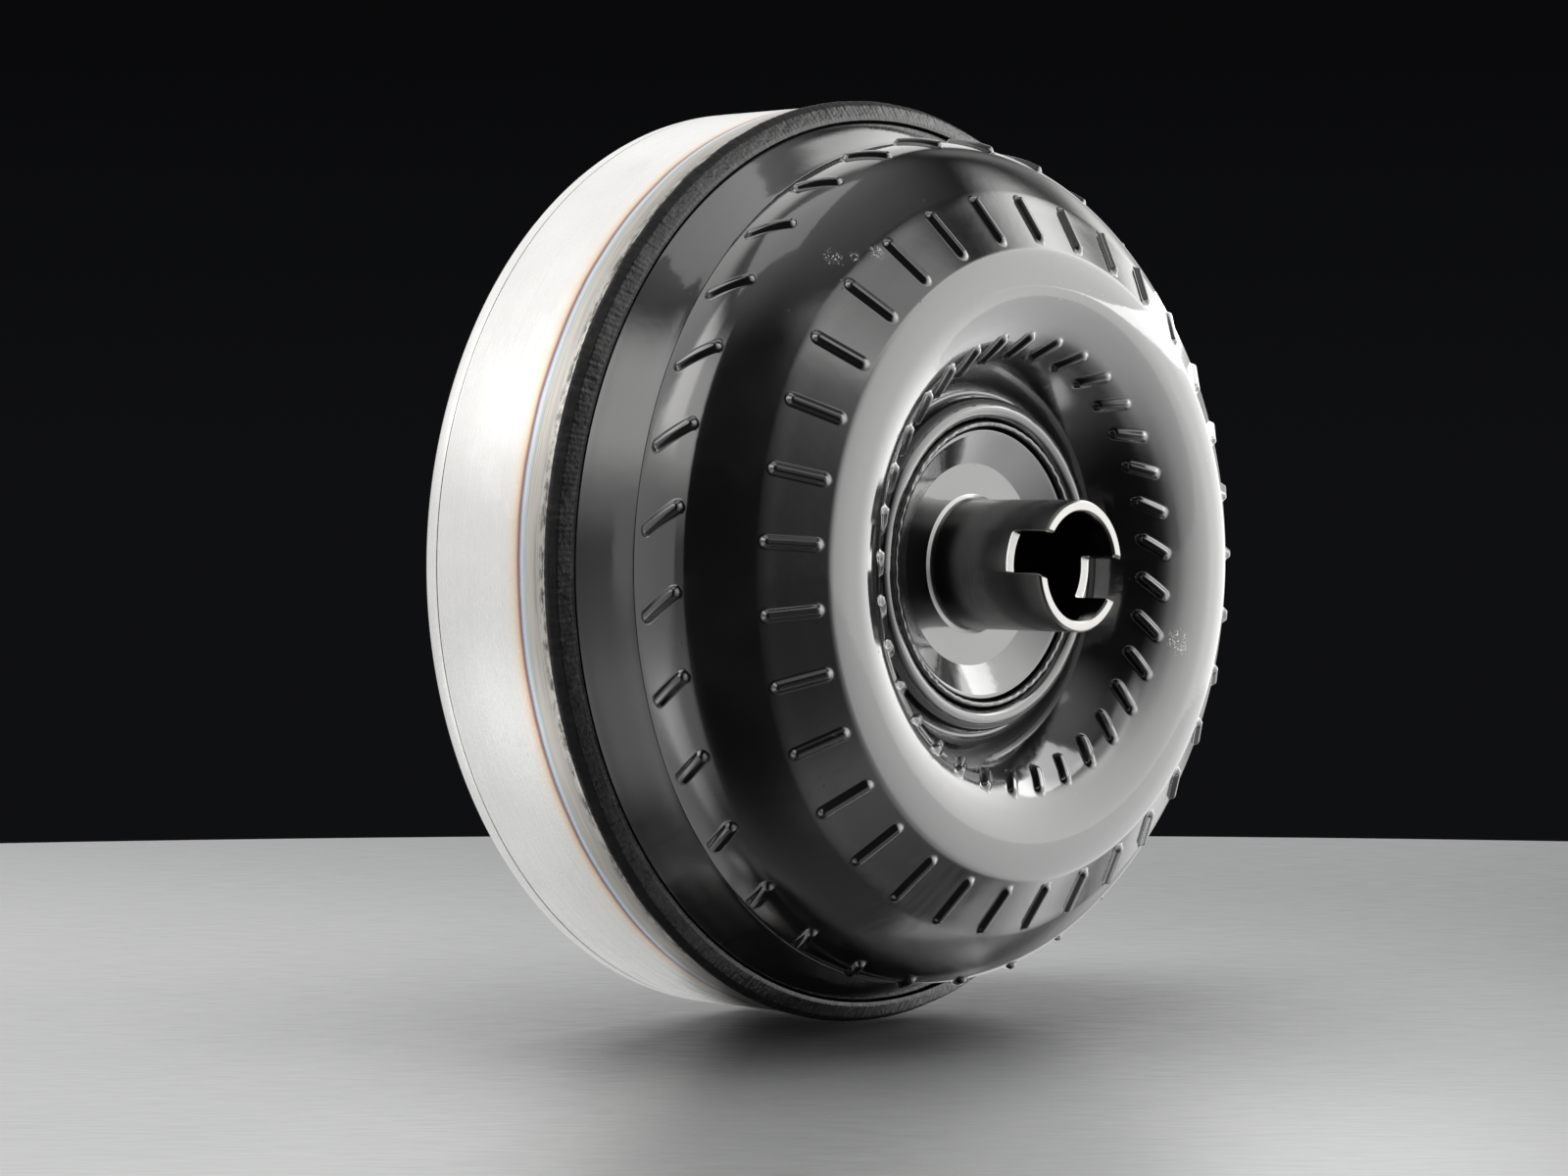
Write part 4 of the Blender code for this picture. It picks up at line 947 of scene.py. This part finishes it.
# drive slots: (across, ax) down one wall's flared mouth, then the floor's corner
SLOT_MOUTH = [(-8.6, -4.0), (-8.6, -0.2), (-8.15, 0.35), (-7.5, 1.1)]
SLOT_CORNER = (-6.3, 13.8)     # centre of the corner's arc
SLOT_CORNER_RADIUS = 1.2
SLOT_HALF_LENGTH = 40.0
SLOT_TURN = 14.0               # degrees round the axis


def slot_cutter():
    """Both drive slots: flared mouth, square walls, small radii at the floor."""
    profile = list(SLOT_MOUTH)
    for q in range(6):
        angle = math.radians(180 - 90 * q / 5)
        profile.append((SLOT_CORNER[0] + SLOT_CORNER_RADIUS * math.cos(angle),
                        SLOT_CORNER[1] + SLOT_CORNER_RADIUS * math.sin(angle)))
    profile += [(-x, ax) for x, ax in profile[::-1]]
    bm = bmesh.new()
    start, end = ([bm.verts.new((along / 1000, (ax + HUB_TIP) / 1000, across / 1000))
                   for across, ax in profile]
                  for along in (-SLOT_HALF_LENGTH, SLOT_HALF_LENGTH))
    for i in range(len(profile)):
        j = (i + 1) % len(profile)
        bm.faces.new([start[i], start[j], end[j], end[i]])
    bm.faces.new(start)
    bm.faces.new(end[::-1])
    bmesh.ops.recalc_face_normals(bm, faces=bm.faces[:])
    bmesh.ops.rotate(bm, verts=bm.verts[:], cent=(0, 0, 0),
                     matrix=Matrix.Rotation(math.radians(SLOT_TURN), 3, "Y"))
    mesh = bpy.data.meshes.new("slot_cutter")
    bm.to_mesh(mesh)
    bm.free()
    ob = bpy.data.objects.new("slot_cutter", mesh)
    bpy.context.scene.collection.objects.link(ob)
    return ob


def build_hub():
    """Turned forging with the slots cut, its edges bevelled and its flange painted."""
    name = "impeller_hub_forging"
    blank = bpy.data.objects.new("hub_tmp", turned(name, rounded(HUB_OUTLINE), columns=256))
    bpy.context.scene.collection.objects.link(blank)
    cutter = slot_cutter()
    cut = blank.modifiers.new("slots", "BOOLEAN")
    cut.operation, cut.solver, cut.object = "DIFFERENCE", "EXACT", cutter
    bevel = blank.modifiers.new("edges", "BEVEL")
    bevel.width, bevel.segments = 0.00045, 3
    bevel.limit_method, bevel.angle_limit = "ANGLE", math.radians(42)
    bevel.use_clamp_overlap = True
    graph = bpy.context.evaluated_depsgraph_get()
    mesh = bpy.data.meshes.new_from_object(blank.evaluated_get(graph))
    for ob in (blank, cutter):
        bpy.data.objects.remove(ob, do_unlink=True)
    add_object(name, mesh, "housing", "impeller_hub", "ground_hub_steel", sharp=38.0)
    # exactly two slots, whatever the cut left: steel, then the flange's paint
    mesh.materials.clear()
    mesh.materials.append(FINISHES["ground_hub_steel"])
    mesh.materials.append(hub_flange_paint)
    for face in mesh.polygons:
        radius = math.hypot(face.center.x, face.center.z) * 1000
        axial = face.center.y * 1000 - HUB_TIP
        face.material_index = 1 if radius > 24.6 and axial < 50.5 else 0


# ------------------------------------------------------------------ engine side
FILLET_BASE = 157.3            # ax of the foot of the fillet welds
# (r, ax, corner radius)
PILOT_OUTLINE = [
    (0, 153.4), (19.0, 153.4, 0.3), (19.0, FILLET_BASE, 0.1), (25.3, FILLET_BASE, 0.3),
    (24.6, 158.9, 1.0), (22.7, 160.7, 1.0), (21.5, 162.2, 0.6), (21.5, 163.2),
    (21.5, 173.1, 0.3), (20.0, 175.0, 0.3), (15.0, 175.0, 0.2), (14.4, 174.6, 0.2),
    (4.6, 174.6, 0.2), (4.1, 174.2, 0.2), (1.6, 171.2, 0.3), (0, 170.4)]
LUG_OUTLINE = [
    (0, FILLET_BASE), (16.0, FILLET_BASE, 0.3), (15.4, 158.9, 0.9), (13.9, 160.4, 0.9),
    (13.0, 161.8, 0.6), (13.0, 162.6), (13.0, 163.9, 0.3), (11.9, 165.0, 0.3),
    (5.6, 165.0, 0.2)]
THREAD_RADIUS, THREAD_PITCH, THREAD_DEPTH = 4.5, 1.5, 0.62
THREAD_TOP, THREAD_END, THREAD_ROWS = 163.6, 160.2, 34


def fillet_warp(seed, inner, outer, below, height, count):
    """Warp that ripples a conical fillet weld between two radii, where ax < below."""
    def warp(angle, radius, axial):
        weight = (smoothstep(inner - 0.2, inner + 0.5, radius)
                  * smoothstep(outer + 0.3, outer - 0.5, radius))
        weight = weight * (axial < below)
        phase = angle * count / 2 + 0.6 * wave(angle, terms=5, seed=seed, low=2, high=9)
        ripple = np.abs(np.sin(phase)) ** 0.8 - 0.5
        uneven = 0.5 * wave(angle, terms=8, seed=seed + 3, low=7, high=40)
        return (radius + weight * (height * ripple + height * 0.5 * uneven),
                axial + weight * 0.6 * height * (ripple + 0.5 * uneven))
    return warp


def lug_warp(seed):
    """Rippled fillet round the lug and a thread in its bore."""
    fillet = fillet_warp(seed, inner=13.2, outer=15.9, below=161.5, height=0.24, count=30)

    def warp(angle, radius, axial):
        radius, axial = fillet(angle, radius, axial)
        painted_bore_shade = (np.abs(radius - THREAD_RADIUS) < 1e-6) & (axial > 160.0)
        phase = (axial - THREAD_END) / THREAD_PITCH - angle / TAU
        tooth = np.abs(((phase % 1.0) - 0.5) * 2)
        ease = smoothstep(THREAD_END, 161.0, axial)
        return np.where(painted_bore_shade, radius - THREAD_DEPTH * tooth * ease, radius), axial
    return warp


def build_pilot(finish):
    name = "crank_pilot_boss"
    warp = fillet_warp(seed=31, inner=21.7, outer=25.2, below=162.0, height=0.30, count=44)
    mesh = turned(name, rounded(PILOT_OUTLINE, loop=False), columns=240, loop=False, warp=warp)
    add_object(name, mesh, "housing", "crank_pilot", "turned_steel", sharp=32.0, finish=finish)


def build_lugs(finish):
    """Threaded drive lugs, each with its ring of fillet weld."""
    thread = [(THREAD_RADIUS, ax) for ax in np.linspace(THREAD_TOP, THREAD_END, THREAD_ROWS)]
    outline = (rounded(LUG_OUTLINE, loop=False) + [(5.1, 164.4)] + thread
               + [(4.2, 159.9), (3.9, 159.6), (0, 159.6)])
    for k in range(6):
        cad_name = "drive_lug_%d" % (k + 1)
        name = cad_name + "_threaded"
        low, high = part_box(cad_name)
        middle = ((low.x + high.x) / 2 * 1000, (low.z + high.z) / 2 * 1000)
        mesh = turned(name, outline, columns=120, loop=False, warp=lug_warp(40 + 5 * k),
                      centre=middle)
        add_object(name, mesh, "housing", cad_name, "turned_steel", sharp=34.0, finish=finish)


# ---------------------------------------------------------------- balance plate
PLATE_EDGE = 0.9               # radius of the engine face's edges
DIMPLE_OFFSET = 6.0            # of each dimple from the plate's middle, along Z
PLATE_ROWS, PLATE_COLUMNS = 72, 33      # points along Z and along X


def plate_mesh(name, low, high):
    """Plate whose engine face has rounded edges and two rimmed dimples."""
    x0, x1, z0, z1 = low.x * 1000, high.x * 1000, low.z * 1000, high.z * 1000
    y0, y1 = low.y * 1000, high.y * 1000
    middle_z = (z0 + z1) / 2
    top, bottom = [], []
    for v in np.linspace(0, 1, PLATE_ROWS):
        for u in np.linspace(0, 1, PLATE_COLUMNS):
            z = z0 + (z1 - z0) * v
            x = x0 + (x1 - x0) * u
            in_x = max(0.0, PLATE_EDGE - min(u, 1 - u) * (x1 - x0))
            in_z = max(0.0, PLATE_EDGE - min(v, 1 - v) * (z1 - z0))
            square = PLATE_EDGE * PLATE_EDGE
            y = y1 - (PLATE_EDGE - math.sqrt(square - min(square, in_x * in_x + in_z * in_z)))
            for dimple_z in (middle_z - DIMPLE_OFFSET, middle_z + DIMPLE_OFFSET):
                d = math.hypot(z - dimple_z, x - (x0 + x1) / 2)
                y -= 1.1 * math.exp(-(d / 1.7) ** 2) - 0.25 * math.exp(-((d - 2.9) / 0.6) ** 2)
            top.append((x / 1000, y / 1000, z / 1000))
            bottom.append((x / 1000, y0 / 1000, z / 1000))
    rows, columns = PLATE_ROWS, PLATE_COLUMNS

    def index(layer, i, j):
        return layer * rows * columns + i * columns + j

    faces = []
    for i in range(rows - 1):
        for j in range(columns - 1):
            faces.append((index(0, i, j), index(0, i, j + 1),
                          index(0, i + 1, j + 1), index(0, i + 1, j)))
            faces.append((index(1, i, j), index(1, i + 1, j),
                          index(1, i + 1, j + 1), index(1, i, j + 1)))
    border = ([(i, 0) for i in range(rows)] + [(rows - 1, j) for j in range(1, columns)]
              + [(i, columns - 1) for i in range(rows - 2, -1, -1)]
              + [(0, j) for j in range(columns - 2, 0, -1)])
    for a, b in zip(border, border[1:] + border[:1]):
        faces.append((index(0, *a), index(0, *b), index(1, *b), index(1, *a)))
    mesh = new_mesh(name, top + bottom, faces)
    bm = bmesh.new()
    bm.from_mesh(mesh)
    bmesh.ops.recalc_face_normals(bm, faces=bm.faces[:])
    bm.to_mesh(mesh)
    bm.free()
    return face_outward(mesh)


def build_balance_plate():
    name = "balance_weight_plate"
    add_object(name, plate_mesh(name, *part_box("balance_weight")), "housing",
               "balance_weight", "stamped_steel", sharp=40.0)


# ------------------------------------------------------------ stage and camera
VIEW = (0.7396, 0.6731)        # level direction the camera looks along
FLOOR_RADIUS = 2.2
FLOOR_SHIFT = 1.48             # of the disc's middle towards the camera


def make_floor():
    """Pale brushed plate, the grain running across the view."""
    mat = Mat("floor_pale")
    x, y, z = mat.xyz
    across = mat.sub(mat.mul(x, VIEW[1]), mat.mul(y, VIEW[0]))
    deep = mat.add(mat.mul(x, VIEW[0]), mat.mul(y, VIEW[1]))
    brush = mat.noise(mat.vec(mat.mul(across, 55.0), mat.mul(deep, 620.0), z),
                      detail=4.0, rough=0.6)
    cloud = mat.noise(scale=3.0, detail=3.0)
    base = mat.mix(mat.span(cloud, ends=(0.3, 0.7)),
                   under=(0.60, 0.605, 0.61), over=(0.55, 0.555, 0.565))
    base = mat.mix(mat.span(brush, ends=(0.40, 0.68), to=(0.0, 0.35)), base,
                   over=(0.44, 0.445, 0.455))
    # painted shade: darker with distance and towards the far right
    far = mat.span(mat.add(deep, mat.mul(across, 0.75)), ends=(-0.40, 0.70))
    base = mat.mix(mat.mul(far, 0.85), base, over=(0.19, 0.195, 0.205))
    direct = mat.node("LightPath").outputs["Is Camera Ray"]
    # painted shadow: where the occlusion node finds the object close by, the floor the camera
    # sees goes dark
    painted_shadow_ao = mat.node("AmbientOcclusion", samples=6)
    painted_shadow_ao.inputs["Distance"].default_value = 0.30
    shade = mat.span(painted_shadow_ao.outputs["AO"], ends=(0.92, 0.42))
    base = mat.mix(mat.mul(shade, 0.85), base, over=(0.05, 0.05, 0.054))
    # reflections and bounces see a plainer floor with painted light and shade: paler towards +X
    # and +Y, darker towards the camera's side
    lit = mat.math("MAXIMUM", mat.span(y, ends=(-0.12, 0.06)), mat.span(x, ends=(-0.03, 0.10)))
    plain = mat.mix(lit, under=(0.34, 0.342, 0.348), over=(0.72, 0.725, 0.73))
    base = mat.mix(direct, plain, over=base)
    metal = mat.sub(1.0, mat.mul(direct, 0.4))
    rough = mat.sub(mat.span(brush, ends=(0.3, 0.7), to=(0.32, 0.44)),
                    mat.mul(mat.sub(1.0, direct), 0.17))
    return mat.set(base=base, metal=metal, rough=rough, spec=0.3,
                   normal=mat.bump(brush, strength=0.05, distance=0.0005))


def build_floor():
    bm = bmesh.new()
    centre_x = -FLOOR_SHIFT * VIEW[0]
    centre_y = -0.075 - FLOOR_SHIFT * VIEW[1]
    ring = []
    for i in range(384):
        angle = TAU * i / 384
        ring.append(bm.verts.new((centre_x + FLOOR_RADIUS * math.cos(angle),
                                  centre_y + FLOOR_RADIUS * math.sin(angle), cad_low.z)))
    bm.faces.new(ring)
    mesh = bpy.data.meshes.new("floor")
    bm.to_mesh(mesh)
    bm.free()
    floor = bpy.data.objects.new("floor", mesh)
    mesh.materials.append(make_floor())
    bpy.context.scene.collection.objects.link(floor)


def build_world():
    """Studio of soft panels, placed by azimuth and elevation in degrees."""
    world = bpy.data.worlds.new("studio")
    bpy.context.scene.world = world
    world.use_nodes = True
    world.node_tree.nodes.clear()
    sky = Nodes(world.node_tree, "Generated")
    mul, span = sky.mul, sky.span
    x, y, z = sky.xyz
    to_degrees = 180.0 / math.pi
    azimuth = mul(sky.math("ARCTAN2", y, x), to_degrees)                # 0 is +X, 90 is +Y
    azimuth_back = mul(sky.math("ARCTAN2", mul(y, -1.0), mul(x, -1.0)), to_degrees)  # 0 is -X
    elevation = mul(sky.math("ARCSINE", z), to_degrees)

    def panel(around, sides, heights, soft_sides=4.0, soft_heights=4.0):
        """Soft-edged rectangle of light."""
        def band(value, limits, soft):
            low, high = limits
            return mul(span(value, ends=(low - soft, low + soft)),
                       span(value, ends=(high + soft, high - soft)))
        return mul(band(around, sides, soft_sides), band(elevation, heights, soft_heights))

    # key: a tall soft wall on the hub's right, fading towards the camera and above
    high = span(elevation, ends=(12.0, 26.0))
    right = sky.add(mul(span(azimuth, ends=(37.0, -8.0)), sky.sub(1.0, high)),
                    mul(span(azimuth, ends=(11.0, -9.0)), high))
    key_sides = mul(span(azimuth, ends=(-122.0, -56.0)), right)
    key_heights = mul(span(elevation, ends=(-30.0, -18.0)), span(elevation, ends=(49.0, 34.0)))
    key_brightness = 3.25
    key = mul(mul(key_sides, key_heights), key_brightness)
    # a strip along the key's upper edge
    brow = mul(panel(azimuth, sides=(-104.0, -44.0), heights=(37.0, 53.0),
                     soft_sides=12.0, soft_heights=3.0), 1.35)
    # side: a wide wall behind the cover, brightest in its upper half
    side_heights = mul(span(elevation, ends=(4.0, 30.0), to=(0.72, 1.0)),
                       span(elevation, ends=(62.0, 50.0)))
    low_far = mul(span(azimuth, ends=(95.0, 60.0)),
                  span(elevation, ends=(16.0, 3.0), to=(0.0, 0.6)))
    side_heights = mul(side_heights, sky.sub(1.0, low_far))
    side_brightness = 1.16
    side = mul(mul(panel(azimuth_back, sides=(-150.0, 14.0), heights=(-24.0, 70.0),
                         soft_sides=2.0, soft_heights=3.0), side_heights), side_brightness)
    # two overlapping bright patches on the side wall, on the camera's left
    narrow_patch = mul(panel(azimuth_back, sides=(-50.0, -18.0), heights=(27.0, 58.0),
                             soft_heights=5.0), 1.5)
    wide_patch = mul(panel(azimuth_back, sides=(-48.0, 13.0), heights=(22.0, 52.0),
                           soft_heights=8.0), 1.3)
    # a dim panel between the key and the side wall
    gap = mul(panel(azimuth, sides=(13.0, 26.0), heights=(2.0, 46.0),
                    soft_sides=6.0, soft_heights=5.0), 0.32)
    roof_brightness = 0.60
    roof = mul(span(elevation, ends=(45.0, 78.0)), roof_brightness)
    base_brightness = 0.004
    light = key
    for part in (brow, side, wide_patch, narrow_patch, gap, roof, base_brightness):
        light = sky.add(light, part)

    seen, lighting = sky.node("Background"), sky.node("Background")
    upward = span(elevation, ends=(-2.0, 12.0))
    sky.put(seen.inputs[0], sky.mix(upward, under=(0.0050, 0.0052, 0.0058),
                                    over=(0.0018, 0.0018, 0.0021)))
    sky.put(lighting.inputs[0], (1.0, 0.995, 0.985))
    sky.put(lighting.inputs[1], light)
    mixer = sky.node("MixShader")
    sky.put(mixer.inputs[0], sky.node("LightPath").outputs["Is Camera Ray"])
    sky.put(mixer.inputs[1], lighting.outputs[0])
    sky.put(mixer.inputs[2], seen.outputs[0])
    sky.put(sky.node("OutputWorld").inputs[0], mixer.outputs[0])


def softbox(name, where, aim, width, height, power):
    light = bpy.data.lights.new(name, "AREA")
    light.shape = "RECTANGLE"
    light.size, light.size_y = width, height
    light.energy = power
    ob = bpy.data.objects.new(name, light)
    ob.location = where
    ob.rotation_mode = "QUATERNION"
    ob.rotation_quaternion = (Vector(aim) - Vector(where)).to_track_quat("-Z", "Y")
    bpy.context.scene.collection.objects.link(ob)
    ob.visible_camera = False


def build_lights():
    # near card facing down beside the bowl, on its +X side
    softbox("card", where=(0.180, -0.168, 0.100), aim=(0.181, -0.168, -0.5),
            width=0.19, height=0.17, power=0.30)
    softbox("overhead", where=(-0.10, 0.05, 1.6), aim=(0, -0.08, 0),
            width=0.9, height=0.9, power=2.0)


def build_camera():
    scene = bpy.context.scene
    data = bpy.data.cameras.new("camera")
    data.lens = 89.46
    data.sensor_width = 36.0
    data.clip_start, data.clip_end = 0.05, 50.0
    camera = bpy.data.objects.new("camera", data)
    scene.collection.objects.link(camera)
    camera.location = (-1.07052, -1.00944, 0.03292)
    camera.rotation_mode = "QUATERNION"
    forward = Vector((0.73925, 0.67277, -0.02989))
    camera.rotation_quaternion = forward.to_track_quat("-Z", "Y")
    scene.camera = camera
    scene.view_settings.view_transform = "Standard"
    scene.view_settings.look = "None"


# ------------------------------------------------------------------- build all
finish_cad_nodes()
build_springs()
build_shell()
build_cover()
build_welds()
build_hub()
lug_steel = make_lug_steel()
build_pilot(lug_steel)
build_lugs(lug_steel)
build_balance_plate()
build_floor()
build_world()
build_lights()
build_camera()
